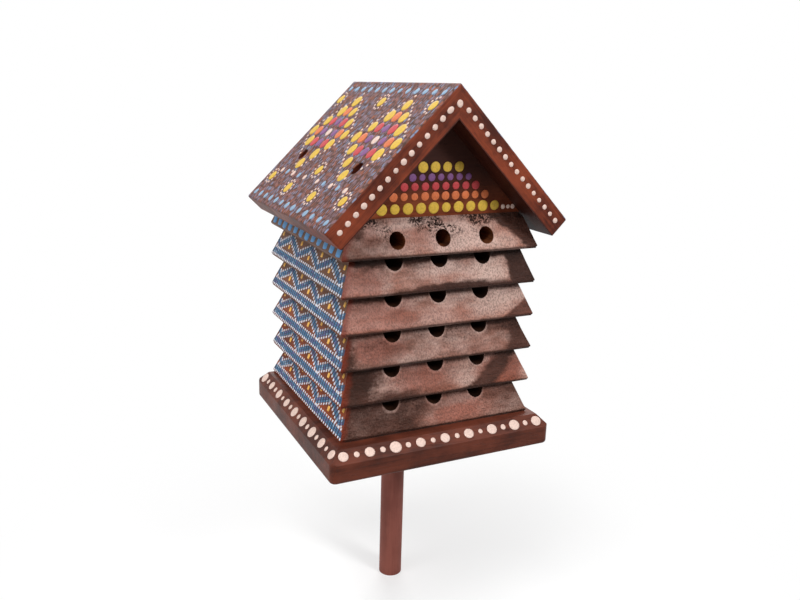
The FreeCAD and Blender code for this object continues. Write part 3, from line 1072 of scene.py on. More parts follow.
@dataclass
class CarvedLayer:
    """One louvre layer, hand-carved, in place of its plain node; its number counts from the lowest tray."""

    node: str
    tunnels: Tunnels
    number: int
    dowel_radius: float = 3.0 * MM
    seat_radius: float = 3.05 * MM
    seat_depth: float = 9.5 * MM
    socket_radius: float = 3.25 * MM
    socket_depth: float = 7.5 * MM
    screw_head: float = 3.8 * MM
    recess_radius: float = 4.5 * MM
    recess_depth: float = 4.5 * MM
    shank_radius: float = 2.2 * MM
    pilot_radius: float = 2.05 * MM
    pilot_depth: float = 16.5 * MM
    overshoot: float = 1.0 * MM
    flare: float = 8.0 * MM
    lip: float = 1.0 * MM
    lip_steps: int = 4
    under_insets: Pair = (14.0 * MM, 3.0 * MM)
    top_round: float = 0.7 * MM
    top_inset: float = 4.0 * MM
    face_rows: int = 9
    step: float = 2.2 * MM
    wave: float = 0.9 * MM
    wave_counts: Triple = (30.0, 30.0, 60.0)
    chatter: float = 0.2 * MM
    chatter_counts: Triple = (150.0, 150.0, 230.0)
    lift: float = 0.9 * MM
    lift_counts: Triple = (26.0, 26.0, 0.0)
    lift_reach: float = 0.5
    lift_start: float = 9.0
    drift: float = 3.7
    bore_height: float = 9.5 * MM
    end_wall: float = 18.0 * MM
    arc: int = 18
    cap_angles: tuple[int, ...] = (20, 40, 60, 80)
    mouth_flare: float = 0.22
    mouth_depth: float = 5.0 * MM
    mouth_clear: float = 6.0 * MM
    roof_seat: float = 2.0 * MM
    flat_normal: float = 0.75
    sharp_angle: float = math.radians(42)

    def __post_init__(self) -> None:
        """Read the layer's body and place from the frame."""
        self.body = body_of(self.node)
        low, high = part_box(self.node)
        self.foot = low[2]
        self.rise = high[2] - low[2]
        self.middle = Vector(((low[0] + high[0]) / 2, (low[1] + high[1]) / 2, 0.0))
        self.half = Vector(((high[0] - low[0]) / 2, (high[1] - low[1]) / 2))

    def profile(self) -> list[tuple[float, float, bool]]:
        """Rings of the layer's skin from the underside to the top.

        Returns:
            Each ring's inset from the foot's outline, its height, and whether it is carved.
        """
        slope = math.atan2(self.flare, self.rise)
        inner, outer = self.under_insets
        rings = [(inner, 0.0, False), (outer + self.lip, 0.0, False)]
        for index in range(self.lip_steps + 1):
            angle = (math.pi / 2 + slope) * index / self.lip_steps - math.pi / 2
            inset = self.lip - self.lip * math.cos(angle)
            rings.append((inset, self.lip + self.lip * math.sin(angle), index > 0))
        start_inset, start_height, _ = rings[-1]
        for index in range(1, self.face_rows + 1):
            share = index / self.face_rows
            height = start_height + (self.rise - self.top_round - start_height) * share
            rings.append((start_inset + (self.flare - start_inset) * share, height, True))
        rings.append((self.flare + self.top_round, self.rise, False))
        rings.append((self.flare + self.top_inset, self.rise, False))
        return rings

    def uneven(self, point: Vector, counts: Triple, start: float = 0.0) -> float:
        """Noise from 0 to 1 at a point, with a number of waves for each metre along each axis."""
        place = Vector([part * count for part, count in zip(point, counts)])
        return 0.5 + 0.5 * noise.noise(place + Vector((self.number * self.drift, 0.0, start)))

    def carved(self, point: Vector, out: Vector) -> Vector:
        """Point moved inwards, and near the lip upwards, by the carver's uneven strokes.

        Args:
            point: a point of the plain face.
            out: direction out of the face.

        Returns:
            The moved point.
        """
        inward = self.wave * self.uneven(point, self.wave_counts)
        inward += self.chatter * self.uneven(point, self.chatter_counts)
        near_lip = max(0.0, 1.0 - (point.z - self.foot) / (self.lift_reach * self.rise))
        raised = self.uneven(point, self.lift_counts, self.lift_start)
        return point - out * inward + Vector((0, 0, self.lift * raised * near_lip))

    def seated(self, point: Vector) -> Vector:
        """Point brought down to the planed seats of the roof boards.

        Args:
            point: the point, which is moved.

        Returns:
            The same point.
        """
        if self.tunnels is Tunnels.BORES:
            past = abs(point.x - self.middle.x) - (self.half.x - self.flare - self.roof_seat)
            point.z = min(point.z, self.foot + self.rise - max(0.0, past))
        return point

    def ring(self, inset: float, height: float, is_carved: bool) -> list[Vector]:
        """Points of one ring round the layer.

        Args:
            inset: distance inside the foot's outline.
            height: height above the foot.
            is_carved: whether the carver's strokes move the points.

        Returns:
            The points in turn.
        """
        points = []
        per_side = round(2 * self.half.y / self.step)
        for side in range(4):
            turn = quarter_turns(side)
            across = turn @ Vector((1, 0, 0))
            out = turn @ Vector((0, -1, 0))
            reach_out, reach_across = self.half if side % 2 else self.half.yx
            for index in range(per_side):
                share = 2 * index / per_side - 1
                point = out * (reach_out - inset) + across * (reach_across - inset) * share
                point += self.middle + Vector((0, 0, self.foot + height))
                if is_carved:
                    point = self.carved(point, out if index else (out - across).normalized())
                points.append(self.seated(point))
        return points

    def shell(self) -> Mesh:
        """Closed flared board with carved faces.

        Returns:
            Its mesh.
        """
        draft = bmesh.new()
        loft(draft, [self.ring(*ring) for ring in self.profile()])
        return finished_mesh(draft, self.node)

    def cutter_ring(self, column: float, depth: float, radius: float, flare: float) -> list[Vector]:
        """Outline of the cutter at one depth: a U that may widen upwards for grooves, a circle for bores.

        Args:
            column: the tunnel's place across.
            depth: place along the tunnel.
            radius: the tunnel's radius there.
            flare: share by which a U is wider at its top.

        Returns:
            The outline's points in turn.
        """
        if self.tunnels is Tunnels.BORES:
            centre = Vector((column, depth, self.foot + self.bore_height))
            return [centre + radius * Vector((math.cos(a), 0, math.sin(a))) for a in turns(self.arc)]
        centre = Vector((column, depth, self.foot + self.rise - GROOVE_DEPTH + TUNNEL_RADIUS))
        count = self.arc // 2
        angles = [math.pi + math.pi * index / count for index in range(count + 1)]
        lower = [(radius * math.cos(a), radius * math.sin(a)) for a in angles]
        outline = [(-radius, GROOVE_DEPTH), *lower, (radius, GROOVE_DEPTH)]
        return [centre + Vector((x + x * flare * (z + TUNNEL_RADIUS) / GROOVE_DEPTH, 0, z))
                for x, z in outline]

    def holes(self) -> Iterator[RoundHoles]:
        """Holes for the dowels and screws that enter the layer.

        Yields:
            The holes from below, then those from above or right through.
        """
        below, above = -self.overshoot, self.rise + self.overshoot
        if self.number == 1:
            pilot = straight(self.pilot_radius, below, self.pilot_depth)
            yield RoundHoles("base_screws", self.screw_head, pilot)
        else:
            socket = straight(self.socket_radius, below, self.socket_depth)
            yield RoundHoles(f"dowels_{self.number - 1}", self.dowel_radius, socket)
        if self.tunnels is Tunnels.GROOVES:
            seat = straight(self.seat_radius, self.rise - self.seat_depth, above)
            yield RoundHoles(f"dowels_{self.number}", self.dowel_radius, seat)
        else:
            recess = straight(self.recess_radius, below, self.recess_depth)
            shank = straight(self.shank_radius, self.recess_depth, above)
            yield RoundHoles("gable_screws", self.screw_head, recess + shank)

    def cutter(self, material: Material) -> Object:
        """Tool that cuts the layer's three tunnels and its round holes.

        Args:
            material: what the cut leaves on the walls.

        Returns:
            The tool.
        """
        draft = bmesh.new()
        face = self.middle.y - self.half.y
        mouth = face + self.flare
        cap = self.middle.y + self.half.y - self.end_wall - TUNNEL_RADIUS
        stations = [(face - self.mouth_clear, TUNNEL_RADIUS, self.mouth_flare),
                    (mouth, TUNNEL_RADIUS, self.mouth_flare),
                    (mouth + self.mouth_depth, TUNNEL_RADIUS, 0.0), (cap, TUNNEL_RADIUS, 0.0)]
        for angle in map(math.radians, self.cap_angles):
            stations.append((cap + TUNNEL_RADIUS * math.sin(angle), TUNNEL_RADIUS * math.cos(angle), 0.0))
        for column in TUNNEL_COLUMNS:
            loft(draft, [self.cutter_ring(column, *station) for station in stations])
        for holes in self.holes():
            holes.cut(draft, self.foot)
        bmesh.ops.recalc_face_normals(draft, faces=draft.faces)
        tool = link_object(f"{self.node}_cutter", finished_mesh(draft, f"{self.node}_cutter"))
        tool.data.materials.append(material)
        return tool

    def build(self, front: Material, side: Material, plain: Material, tunnel: Material) -> None:
        """Carve the layer, cut its tunnels and dress its faces.

        Args:
            front: material of the washed front and back.
            side: ground of the painted side faces.
            plain: material of the top and the underside.
            tunnel: material of the tunnel walls.
        """
        mesh = self.shell()
        finishes = (front, side, plain)
        for material in finishes:
            mesh.materials.append(material)
        for face in mesh.polygons:
            upright = side if abs(face.normal.x) > abs(face.normal.y) else front
            finish = plain if abs(face.normal.z) > self.flat_normal else upright
            face.material_index = finishes.index(finish)
        board = link_object(f"{self.node}_board", mesh)
        tool = self.cutter(tunnel)
        cut = board.modifiers.new("tunnels", "BOOLEAN")
        cut.operation = "DIFFERENCE"
        cut.solver = "EXACT"
        cut.material_mode = "TRANSFER"
        cut.object = tool
        finished = plain_mesh(board)
        bpy.data.objects.remove(tool)
        finished.shade_smooth()
        finished.set_sharp_from_angle(angle=self.sharp_angle)
        piece = add_piece(f"{self.node}_carved", finished, self.body, slot_of(self.node))
        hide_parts(self.node)

    def side_facet(self, side: int) -> Facet:
        """Side face between its lip and its top edge, centred on its foot.

        Args:
            side: -1 for the left face, 1 for the right one.

        Returns:
            The face.
        """
        carved = [(inset, height) for inset, height, is_carved in self.profile() if is_carved]
        low_inset, low_height = carved[self.lip_steps - 1]
        high_inset, high_height = carved[-1]
        lean = (high_inset - low_inset) / (high_height - low_height)
        foot_inset = low_inset - lean * low_height
        centre = self.middle + Vector((side * (self.half.x - foot_inset), 0, self.foot))
        return Facet(centre, Vector((0, side, 0)), Vector((-side * lean, 0, 1)).normalized())

    def on_side(self, side: int, across: float, up: float, along: Vector, size: Pair,
                paint: Paint) -> Mark:
        """Mark on the carved surface of a side face.

        Args:
            side: -1 for the left face, 1 for the right one.
            across: the mark's place along the face.
            up: its place up the face.
            along: its direction.
            size: its length and width.
            paint: its colour.

        Returns:
            The mark.
        """
        facet = self.side_facet(side)
        place = self.carved(facet.point(across, up), Vector((side, 0, 0)))
        return Mark(place, facet.out, along, *size, paint)


@dataclass
class SidePainting:
    """Dashes along the rail and the zigzag on both sides of a tray, with dots in the bends."""

    layer: CarvedLayer
    seed: int
    ribbon: Ribbon = Ribbon()
    bends: int = 4
    spacing: float = 3.3 * MM
    rows: tuple[float, ...] = (-2.6 * MM, -0.9 * MM, 0.9 * MM, 2.6 * MM)
    blues: tuple[Paint, ...] = (Paint.TEAL, Paint.TEAL, Paint.TEAL, Paint.SKY, Paint.INDIGO)
    dash: Pair = (1.6 * MM, 1.75 * MM)
    dot: Pair = (3.2 * MM, 3.0 * MM)
    dot_over_low: float = 8.0 * MM
    dot_under_high: float = 6.4 * MM
    margin: float = 1.2 * MM
    top_margin: float = 0.6 * MM

    def inside(self, across: float, up: float) -> bool:
        """Whether a place is clear of the face's edges.

        Args:
            across: the place along the face.
            up: the place up the face.

        Returns:
            True where a mark fits.
        """
        slant_height = math.hypot(self.layer.flare, self.layer.rise)
        reach = self.layer.half.y - self.layer.flare * up / slant_height - self.margin
        return abs(across) < reach and self.margin < up < slant_height - self.top_margin

    def lines(self) -> Iterator[tuple[float, float, float, float]]:
        """Places along the rail and the zigzag.

        Yields:
            Each place across and up, with the line's direction across and up there.
        """
        half = self.ribbon.period / 2
        heights = (self.ribbon.high, self.ribbon.low)
        corners = [(index * half, heights[index % 2]) for index in range(-self.bends, self.bends + 1)]
        rail = ((-self.bends * half, self.ribbon.rail), (self.bends * half, self.ribbon.rail))
        for (a0, u0), (a1, u1) in (*zip(corners, corners[1:]), rail):
            length = math.hypot(a1 - a0, u1 - u0)
            count = round(length / self.spacing)
            run, climb = (a1 - a0) / length, (u1 - u0) / length
            for index in range(count):
                share = index / count
                yield a0 + (a1 - a0) * share, u0 + (u1 - u0) * share, run, climb

    def marks(self) -> Iterator[Mark]:
        """Marks of both sides.

        Yields:
            The dashes of each side, then its dots.
        """
        chance = random.Random(self.seed)
        for side in (-1, 1):
            facet = self.layer.side_facet(side)
            for across, up, run, climb in self.lines():
                over = facet.across * -climb + facet.up * run
                for shift in self.rows:
                    where = (across - climb * shift, up + run * shift)
                    if not self.inside(*where):
                        continue
                    paint = Paint.WHITE if abs(shift) > self.ribbon.half_width else chance.choice(self.blues)
                    yield self.layer.on_side(side, *where, over, self.dash, paint)
            heights = (self.ribbon.high - self.dot_under_high, self.ribbon.low + self.dot_over_low)
            for index in range(1 - self.bends, self.bends):
                across = index * self.ribbon.period / 2
                yield self.layer.on_side(side, across, heights[index % 2], facet.up, self.dot, Paint.AMBER)


@dataclass
class NestBlockBorder:
    """Row of upright blue dashes along the lower side edges of the nest block."""

    layer: CarvedLayer
    count: int = 12
    up: float = 5.2 * MM
    size: Pair = (7.6 * MM, 6.7 * MM)
    end_gap: float = 7.0 * MM

    def marks(self) -> Iterator[Mark]:
        """Marks of both sides.

        Yields:
            The dashes of each side.
        """
        reach = self.layer.half.y - self.end_gap
        for side in (-1, 1):
            along = self.layer.side_facet(side).up
            for index in range(self.count):
                across = reach * (2 * index / (self.count - 1) - 1)
                yield self.layer.on_side(side, across, self.up, along, self.size, Paint.BLUE)


@dataclass
class Roof:
    """Roof boards: finish and painting of their slopes and front edges."""

    thickness: float = 14.0 * MM
    lattice: float = 9.3 * MM
    diamond: Pair = (37.5 * MM, 47.0 * MM)
    ring_sizes: tuple[float, ...] = (7.0 * MM, 7.0 * MM, 8.4 * MM, 9.2 * MM)
    outline_reach: float = 3.78
    outline_count: int = 12
    outline_dot: float = 1.9 * MM
    lone_dots: tuple[Pair, ...] = (
        (0.0, 0.018), (0.0, 0.076), (-0.068, 0.018), (0.068, 0.018),
        (-0.064, 0.090), (0.064, 0.090), (-0.022, 0.094), (0.022, 0.094))
    lone_dot: float = 8.0 * MM
    halo_radius: float = 6.0 * MM
    halo_count: int = 12
    halo_dot: float = 1.7 * MM
    row_pitch: float = 11.2 * MM
    row_reach: int = 6
    outer_rows: Pair = (8.0 * MM, 105.0 * MM)
    outer_dot: float = 4.6 * MM
    mixed_row: float = 83.5 * MM
    mixed_dot: float = 4.2 * MM
    recess: Pair = (46.25 * MM, 68.0 * MM)
    recess_radius: float = 4.5 * MM
    recess_gap: float = 0.4 * MM
    overlap: float = 0.2 * MM
    side_limit: float = 71.0 * MM
    edge_start: float = 14.5 * MM
    edge_end: float = 104.7 * MM
    edge_dots: tuple[tuple[int, float], ...] = ((15, 3.3 * MM), (16, 3.0 * MM))
    edge_share: float = 0.46
    edge_stretch: float = 1.08
    first_stretch: float = 1.4
    apex_share: float = 0.57
    apex_dot: Pair = (3.5 * MM, 4.0 * MM)

    def __post_init__(self) -> None:
        """Find the ridge and the boards' ends from the frame."""
        self.front, self.back = (corner[1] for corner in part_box("roof_left"))
        self.drop = math.sqrt(0.5)
        gable_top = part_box("gable_front")[1][2]
        self.ridge = Vector((0, (self.front + self.back) / 2, gable_top + self.thickness / self.drop))

    def slope(self, side: int) -> Facet:
        """Outer face of the left (-1) or right (1) board, centred on the ridge; up runs down the slope."""
        return Facet(self.ridge, Vector((0, -side, 0)), Vector((side * self.drop, 0, -self.drop)))

    def diamonds(self) -> Iterator[tuple[float, float, float, Paint]]:
        """Dots of two diamonds and their outlines.

        Yields:
            Place across and down, size and colour of each dot.
        """
        middle = self.diamond[1]
        count = len(self.ring_sizes)
        for centre in (-self.diamond[0], self.diamond[0]):
            for column in range(1 - count, count):
                for line in range(abs(column) - count + 1, count - abs(column)):
                    ring = abs(column) + abs(line)
                    inner = Paint.RED if column and line else Paint.ORANGE
                    paint = (Paint.CREAM, Paint.PURPLE, inner, Paint.YELLOW)[ring]
                    place = (centre + column * self.lattice, middle + line * self.lattice)
                    yield *place, self.ring_sizes[ring], paint
            reach = self.outline_reach * self.lattice
            for index in range(4 * self.outline_count):
                share = index % self.outline_count / self.outline_count
                turn = Matrix.Rotation(index // self.outline_count * math.pi / 2, 2)
                corner = turn @ Vector((reach * (1 - share), reach * share))
                yield centre + corner.x, middle + corner.y, self.outline_dot, Paint.CREAM

    def scattered(self) -> Iterator[tuple[float, float, float, Paint]]:
        """Lone dots in their rings, and the rows along ridge and eave.

        Yields:
            Place across and down, size and colour of each dot.
        """
        for across, up in self.lone_dots:
            yield across, up, self.lone_dot, Paint.YELLOW
            for angle in turns(self.halo_count):
                place = (across + self.halo_radius * math.cos(angle), up + self.halo_radius * math.sin(angle))
                yield *place, self.halo_dot, Paint.CREAM
        for index in range(-self.row_reach, self.row_reach + 1):
            across = index * self.row_pitch
            for up in self.outer_rows:
                yield across, up, self.outer_dot, Paint.SKY
            yield across, self.mixed_row, self.mixed_dot, Paint.CREAM if index % 2 else Paint.SKY

    def slope_marks(self, side: int) -> list[Mark]:
        """Dots of one board, clear of the screw recesses and of each other.

        Args:
            side: -1 for the left board, 1 for the right one.

        Returns:
            The dots.
        """
        facet = self.slope(side)
        marks: list[Mark] = []
        for across, up, size, paint in (*self.diamonds(), *self.scattered()):
            place = facet.point(across, up)
            recess = math.hypot(abs(across) - self.recess[0], up - self.recess[1])
            is_clear = all((place - mark.place).length > (size + mark.length) / 2 - self.overlap
                           for mark in marks)
            is_clear &= recess > self.recess_radius + size / 2 + self.recess_gap
            if is_clear and abs(across) < self.side_limit:
                marks.append(Mark(place, facet.out, facet.up, size, size, paint))
        return marks

    def edge_marks(self) -> Iterator[Mark]:
        """Cream dots on the boards' front edges.

        Yields:
            The dots down both edges, then the one under the ridge.
        """
        out = Vector((0, -1, 0))
        apex = Vector((0, self.front, self.ridge.z))
        for side, (count, width) in zip((-1, 1), self.edge_dots):
            down = Vector((side * self.drop, 0, -self.drop))
            inward = Vector((-side * self.drop, 0, -self.drop)) * self.thickness * self.edge_share
            for index in range(count):
                along = self.edge_start + (self.edge_end - self.edge_start) * index / (count - 1)
                length = (self.first_stretch if side < 0 and not index else self.edge_stretch) * width
                yield Mark(apex + down * along + inward, out, down, length, width, Paint.CREAM)
        below = Vector((0, 0, -self.thickness / self.drop)) * self.apex_share
        yield Mark(apex + below, out, Vector((1, 0, 0)), *self.apex_dot, Paint.CREAM)

    def dress(self) -> None:
        """Give both boards their finish."""
        for node, side in (("roof_left", -1), ("roof_right", 1)):
            stain = Stain(f"{node}_stain", srgb(66, 25, 15), srgb(136, 62, 38),
                          turn=(0.0, -side * math.pi / 4, 0.0), pores=0.25)
            finish = RoofFinish(f"{node}_finish", self.ridge.z, self.thickness, stain)
            assign(node, finish.material())


@dataclass
class Gable:
    """Rows of dots on the front gable, with a few small ones at both ends of its foot, in millimetres."""

    rows: tuple[tuple[Paint, float, float], ...] = (
        (Paint.YELLOW, 4.8, 6.6), (Paint.ORANGE, 11.6, 5.0), (Paint.RED, 17.2, 5.0),
        (Paint.PURPLE, 22.4, 4.4), (Paint.YELLOW, 28.2, 6.2))
    space: float = 1.7
    margin: float = 12.0
    ends: tuple[float, ...] = (43.4, 47.0, 50.4)
    end_up: float = 3.6
    end_size: float = 2.9

    def marks(self) -> Iterator[Mark]:
        """Dots of the front gable.

        Yields:
            The rows, which shorten towards the ridge, then the dots at the ends of the foot.
        """
        low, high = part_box("gable_front")
        half = (high[0] - low[0]) / 2
        right = Vector((1, 0, 0))
        facet = Facet(Vector((0, low[1], low[2])), right, Vector((0, 0, 1)))
        for paint, up, size in self.rows:
            pitch = (size + self.space) * MM
            count = int(2 * (half - (up + self.margin) * MM) / pitch) + 1
            start = -(count - 1) * pitch / 2
            first, last = (start, up * MM), (-start, up * MM)
            yield from row(facet, first, last, count, (size * MM, size * MM), paint, right)
        size = self.end_size * MM
        for across in self.ends:
            for side in (-1, 1):
                place = facet.point(side * across * MM, self.end_up * MM)
                yield Mark(place, facet.out, right, size, size, Paint.CREAM)


@dataclass
class BasePlate:
    """Border of large and small dots on the bevel of the base plate."""

    bevel_run: float = 6.4 * MM
    bevel_drop: float = 6.9 * MM
    large: Pair = (7.2 * MM, 6.6 * MM)
    small: float = 3.4 * MM
    count: int = 9
    reach: float = 66.5 * MM

    def marks(self) -> Iterator[Mark]:
        """Dots along all four sides.

        Yields:
            The large dots of each side, then the small ones between them.
        """
        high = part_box("base_plate")[1]
        for side in range(4):
            turn = quarter_turns(side)
            edge = high[0] if side % 2 else high[1]
            centre = Vector((0, self.bevel_run / 2 - edge, high[2] - self.bevel_drop / 2))
            facet = Facet(turn @ centre, turn @ Vector((1, 0, 0)),
                          turn @ Vector((0, self.bevel_run, self.bevel_drop)).normalized())
            large = list(row(facet, (-self.reach, 0), (self.reach, 0), self.count, self.large, Paint.CREAM))
            yield from large
            for first, second in zip(large, large[1:]):
                place = first.place.lerp(second.place, 0.5)
                yield Mark(place, facet.out, facet.across, self.small, self.small, Paint.CREAM)


def assign(node: str, material: Material) -> None:
    """Put a material on every slot of a node's own object."""
    for item in bpy.data.objects[node].material_slots:
        item.material = material


@dataclass(frozen=True)
class Lamp:
    """Square soft box."""

    name: str
    place: Triple
    size: float
    power: float

    def build(self, target: Vector) -> None:
        """Set the lamp up.

        Args:
            target: the place that it is aimed at.
        """
        data = bpy.data.lights.new(self.name, "AREA")
        data.size = self.size
        data.energy = self.power
        lamp = link_object(self.name, data)
        lamp.location = self.place
        lamp.rotation_euler = (target - Vector(self.place)).to_track_quat("-Z", "Y").to_euler()


@dataclass(frozen=True)
class Studio:
    """Camera, soft light and white floor."""

    place: Triple = (-0.22031, -0.45308, 0.22031)
    forward: Triple = (0.42527, 0.86656, -0.26118)
    roll: float = math.radians(1.59)
    lens: float = 35.38
    sensor: float = 36.0
    clip_start: float = 0.01
    lamps: tuple[Lamp, ...] = (
        Lamp("key", (0.44, -0.95, 0.72), 0.32, 8.4), Lamp("left", (-0.70, -0.28, 1.20), 0.80, 14.7),
        Lamp("low", (-1.10, -0.10, 0.10), 0.60, 2.8), Lamp("back", (0.50, 0.95, 0.80), 0.80, 9.1))
    aim_height: float = 0.08
    floor_height: float = -0.120
    floor_reach: float = 4.0
    floor_bounce: float = 0.40
    floor_white: float = 0.95
    floor_rough: float = 0.9
    floor_clear: float = 0.5
    shadow_start: float = 0.06
    shadow_reach: float = 0.30
    world_strength: float = 0.16

    def camera(self) -> None:
        """Camera at the photograph's angle."""
        data = bpy.data.cameras.new("camera")
        data.lens = self.lens
        data.sensor_width = self.sensor
        data.clip_start = self.clip_start
        camera = link_object("camera", data)
        ahead = Vector(self.forward).normalized()
        level = ahead.cross(Vector((0, 0, 1))).normalized()
        upright = level.cross(ahead)
        right = level * math.cos(self.roll) + upright * math.sin(self.roll)
        turn = Matrix((right, right.cross(ahead), -ahead)).transposed().to_4x4()
        camera.matrix_world = Matrix.Translation(self.place) @ turn
        bpy.context.scene.camera = camera

    @staticmethod
    def seen(nodes: Nodes) -> Socket:
        """One for the rays that show the background: from the camera, mirrored or passed through.

        Args:
            nodes: the tree that asks.

        Returns:
            The mask.
        """
        path = nodes.add("ShaderNodeLightPath").outputs
        mirrored = nodes.larger(path["Is Glossy Ray"], path["Is Transmission Ray"])
        return nodes.larger(path["Is Camera Ray"], mirrored)

    def world(self) -> None:
        """Even light that shows as white."""
        world = bpy.data.worlds.new("studio")
        world.use_nodes = True
        nodes = Nodes(world.node_tree)
        background = world.node_tree.nodes["Background"].inputs
        background["Color"].default_value = (1.0, 1.0, 1.0, 1.0)
        strength = nodes.total((self.seen(nodes), 1.0 - self.world_strength), start=self.world_strength)
        nodes.put(background["Strength"], strength)
        bpy.context.scene.world = world

    def floor(self) -> None:
        """White floor that keeps the shadow near the object, returns little light and is clear from below."""
        reach = self.floor_reach
        mesh = bpy.data.meshes.new("floor")
        corners = ((-reach, -reach), (reach, -reach), (reach, reach), (-reach, reach))
        mesh.from_pydata([(*corner, self.floor_height) for corner in corners], [], [(0, 1, 2, 3)])
        skin = Surface("floor_white", 0.0)
        seen = self.seen(skin)
        grey, white = ((level,) * 3 for level in (self.floor_bounce, self.floor_white))
        skin.put(skin.shader.inputs["Base Color"], skin.mix(seen, grey, white))
        skin.put(skin.shader.inputs["Roughness"], self.floor_rough)
        away = skin.length(skin.vector("MULTIPLY", skin.where, (1.0, 1.0, 0.0)))
        clear = skin.step(away, self.shadow_start, self.shadow_reach)
        clear = skin.total((clear, 1.0 - self.floor_clear), start=self.floor_clear)
        clear = skin.times(seen, clear)
        glow = skin.add("ShaderNodeEmission").outputs[0]
        above = skin.run("ShaderNodeMixShader", 0, {0: clear, 1: skin.shader.outputs[0], 2: glow})
        is_below = skin.add("ShaderNodeNewGeometry").outputs["Backfacing"]
        through = skin.add("ShaderNodeBsdfTransparent").outputs[0]
        both = skin.run("ShaderNodeMixShader", 0, {0: is_below, 1: above, 2: through})
        skin.put(skin.tree.nodes["Material Output"].inputs["Surface"], both)
        mesh.materials.append(skin.material)
        floor = link_object("floor", mesh)
        floor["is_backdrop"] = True

    def build(self) -> None:
        """Set up camera, lamps, world and floor."""
        self.camera()
        for lamp in self.lamps:
            lamp.build(Vector((0, 0, self.aim_height)))
        self.world()
        self.floor()
        bpy.context.scene.view_settings.view_transform = "Standard"


def layer_fronts() -> dict[str, WashAndSheenFront]:
    """Finish of each layer's front.

    Returns:
        The finishes by node, from the lowest tray to the nest block.
    """
    bare, red, pale = WearAndLight
    return {
        "tray_1": WashAndSheenFront("tray_1_front", 0.04, (
            Patch(bare, -46, 9, 38, 30, strength=0.4, soft=20), Patch(bare, 60, 10, 20, 20, strength=0.15),
            Patch(red, 16, 7, 26, 7, 0.8), Patch(pale, 17, 7, 22, 5, 0.8, 1.2),
            Patch(red, 10, 15, 40, 8, strength=0.5),
        ), rims=0.7),
        "tray_2": WashAndSheenFront("tray_2_front", 0.20, (
            Patch(bare, -66, 9, 24, 40, 0.6, 0.9, 13), Patch(bare, -34, 2, 22, 4, strength=0.5),
            Patch(bare, 40, 9, 8, 18, 1.2, 0.75, 5), Patch(red, -10, 10, 22, 9, strength=0.9),
            Patch(red, 47, 9, 18, 10), Patch(pale, -37, 15, 8, 6, strength=0.25),
            Patch(pale, 18, 12, 14, 7, strength=0.4), Patch(pale, 38, 16, 8, 4, strength=0.6),
            Patch(pale, 64, 8, 5, 7, strength=0.7),
        ), rims=0.8),
        "tray_3": WashAndSheenFront("tray_3_front", 0.02, (
            Patch(bare, -66, 9, 10, 18, strength=0.6), Patch(bare, 66, 11, 14, 30, strength=0.7, soft=7),
            Patch(bare, 44, 19, 20, 5, strength=0.4), Patch(red, -42, 11, 19, 9),
            Patch(red, 20, 4, 30, 5, strength=0.3), Patch(pale, 8, 11, 34, 7, strength=0.2),
        ), specks=0.5, rims=0.5),
        "tray_4": WashAndSheenFront("tray_4_front", 0.33, (
            beyond(bare, 51, 5, 1.8, 0.5, 2.5), beyond(red, 51, 5, 1.8, soft=2.5),
            Patch(bare, -40, 21, 30, 5, strength=0.5), Patch(red, -44, 8, 28, 14, strength=0.75),
            Patch(red, -5, 4, 34, 6, strength=0.4), Patch(pale, 38, 12, 16, 7, strength=0.5),
        ), rims=0.6, overhang=1.2),
        "tray_5": WashAndSheenFront("tray_5_front", 0.28, (
            # The bare strips along the top are partly painted shade under the nest block's overhang
            beyond(bare, 47, 10, -0.15, soft=2.5), Patch(bare, -30, 22, 46, 6, strength=0.8),
            Patch(bare, 22, 22, 30, 5), Patch(bare, 12, 1.0, 34, 3.2, strength=0.8, soft=1.6),
            Patch(red, -52, 8, 15, 12, strength=0.8), Patch(pale, 34, 10, 13, 8, strength=0.8),
            Patch(pale, 0, 12, 22, 4, strength=0.3),
        ), bare_and_shade_dark=0.5, rims=0.6, overhang=1.4),
        "nest_block": WashAndSheenFront("nest_block_front", 0.44, (
            # Painted shadow: the first patch darkens the upper right as the right roof board's cast shadow
            beyond(bare, 47, 10.5, -1.26, soft=4), Patch(bare, -56, 5, 24, 10, strength=0.3),
            Patch(bare, -60, 17, 9, 6, -1.0, 0.7), Patch(red, -13, 9, 9, 7, strength=0.35),
            Patch(red, -48, 14, 8, 6, strength=0.5), Patch(pale, 32, 6, 22, 5, strength=0.5),
        ), specks=1.0, pitting=0.085, overhang=0.3),
    }


def build_layers(painter: Painter) -> None:
    """Carve and paint the five trays and the nest block.

    Args:
        painter: paints their sides.
    """
    inwards = (0.0, 0.0, math.pi / 2)
    side_stain = Stain("side_stain", srgb(88, 38, 20), srgb(146, 66, 28), turn=inwards,
                       fade=Fade(40.0 * MM, 110.0 * MM, srgb(104, 72, 54), 0.85))
    lowest = CarvedLayer("tray_1", Tunnels.GROOVES, 1)
    slant = math.hypot(lowest.flare, lowest.rise) / lowest.rise
    tray_side = PaintedSide("side_ground", side_stain, lowest.foot, lowest.rise, lowest.middle.y, slant)
    groove = Stain("groove_wood", srgb(30, 19, 15), srgb(70, 44, 32), inwards, rough=0.75, shine=0.05)
    bore = Stain("bore_wood", srgb(64, 34, 22), srgb(140, 80, 47), inwards, rough=0.75, shine=0.05)
    plain = Stain("plain_stain", srgb(70, 42, 35), srgb(109, 70, 57)).material()
    woods = {Tunnels.GROOVES: (tray_side.material(), plain, groove.material()),
             Tunnels.BORES: (side_stain.material(), plain, bore.material())}
    for number, (node, finish) in enumerate(layer_fronts().items(), start=1):
        tunnels = Tunnels.BORES if node == "nest_block" else Tunnels.GROOVES
        layer = CarvedLayer(node, tunnels, number)
        layer.build(finish.material(layer.foot, layer.foot + layer.rise), *woods[tunnels])
        painting = NestBlockBorder(layer) if tunnels is Tunnels.BORES else SidePainting(layer, number)
        marks = list(painting.marks())
        painter.paint(f"{node}_side_paint", layer.body, slot_of(node), marks, Drop.DASH, number)


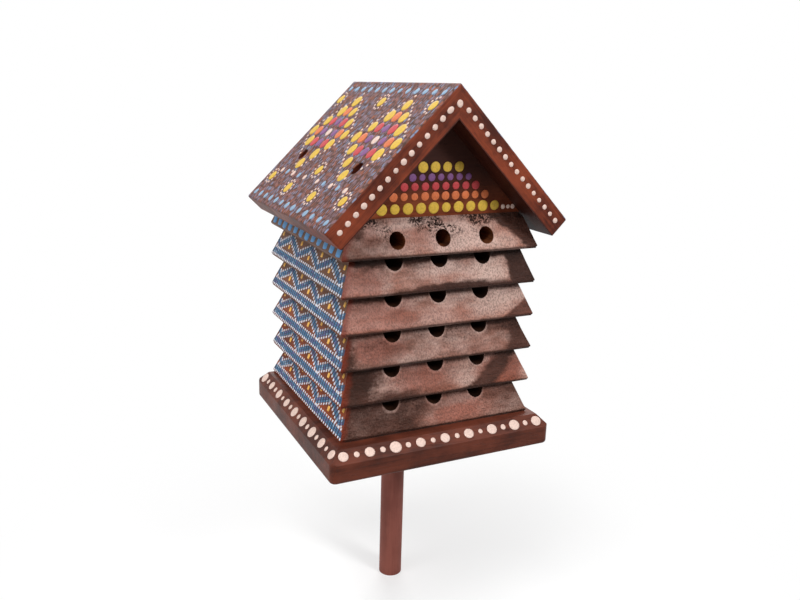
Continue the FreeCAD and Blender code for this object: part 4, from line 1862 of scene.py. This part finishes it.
def build_rest(painter: Painter) -> None:
    """Dress and paint the roof, the gables and the base, and dress the small parts.

    Args:
        painter: paints the dots.
    """
    roof = Roof()
    roof.dress()
    dots = (("roof_left_paint", "roof", "roof_wood", roof.slope_marks(-1)),
            ("roof_right_paint", "roof", "roof_wood", roof.slope_marks(1)),
            ("roof_edge_dots", "roof", "roof_wood", list(roof.edge_marks())),
            ("gable_dots", "roof", "gable_wood", list(Gable().marks())),
            ("base_border_dots", "base", "base_wood", list(BasePlate().marks())))
    first_seed = 21
    for seed, (name, body, slot, marks) in enumerate(dots, first_seed):
        painter.paint(name, body, slot, marks, Drop.DOT, seed)
    upright = (0.0, math.pi / 2, 0.0)
    gable_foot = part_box("gable_front")[0][2]
    # Painted shade: the gable darkens towards its top, under the roof
    shade = Fade(gable_foot, gable_foot + 26.0 * MM, srgb(52, 34, 31), 0.9)
    gable = Stain("gable_stain", srgb(88, 39, 23), srgb(140, 72, 45), shine=0.05, fade=shade)
    base = Stain("base_stain", srgb(64, 30, 21), srgb(104, 52, 37), pores=0.2)
    stake = Stain("stake_stain", srgb(136, 79, 69), srgb(155, 92, 80), upright, rough=0.55, pores=0.15)
    screw = Stain("screw_dark", srgb(30, 27, 24), srgb(58, 52, 47), shine=0.5)
    dowel = Stain("dowel_beech", srgb(176, 134, 88), srgb(206, 168, 120), upright)
    dressed = ((gable, ["gable_front", "gable_back"]), (base, ["base_plate"]), (stake, ["stake"]),
               (screw, [node for node in frame["nodes"] if node.endswith("screws")]),
               (dowel, [node for node in frame["nodes"] if node.startswith("dowels")]))
    for stain, nodes in dressed:
        material = stain.material()
        for node in nodes:
            assign(node, material)


def main() -> None:
    """Build the bee hotel's looks and its studio."""
    logging.basicConfig(level=logging.INFO)
    painter = Painter()
    build_layers(painter)
    build_rest(painter)
    Studio().build()


def write_sizes() -> None:
    """Work out the boxes of the plain and the dressed model."""
    boxes = {"cad": CAD_BOX, "visual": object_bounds()}
    plain = {name: [[float(value) for value in corner] for corner in box] for name, box in boxes.items()}


if __name__ == "__main__":
    main()
    write_sizes()
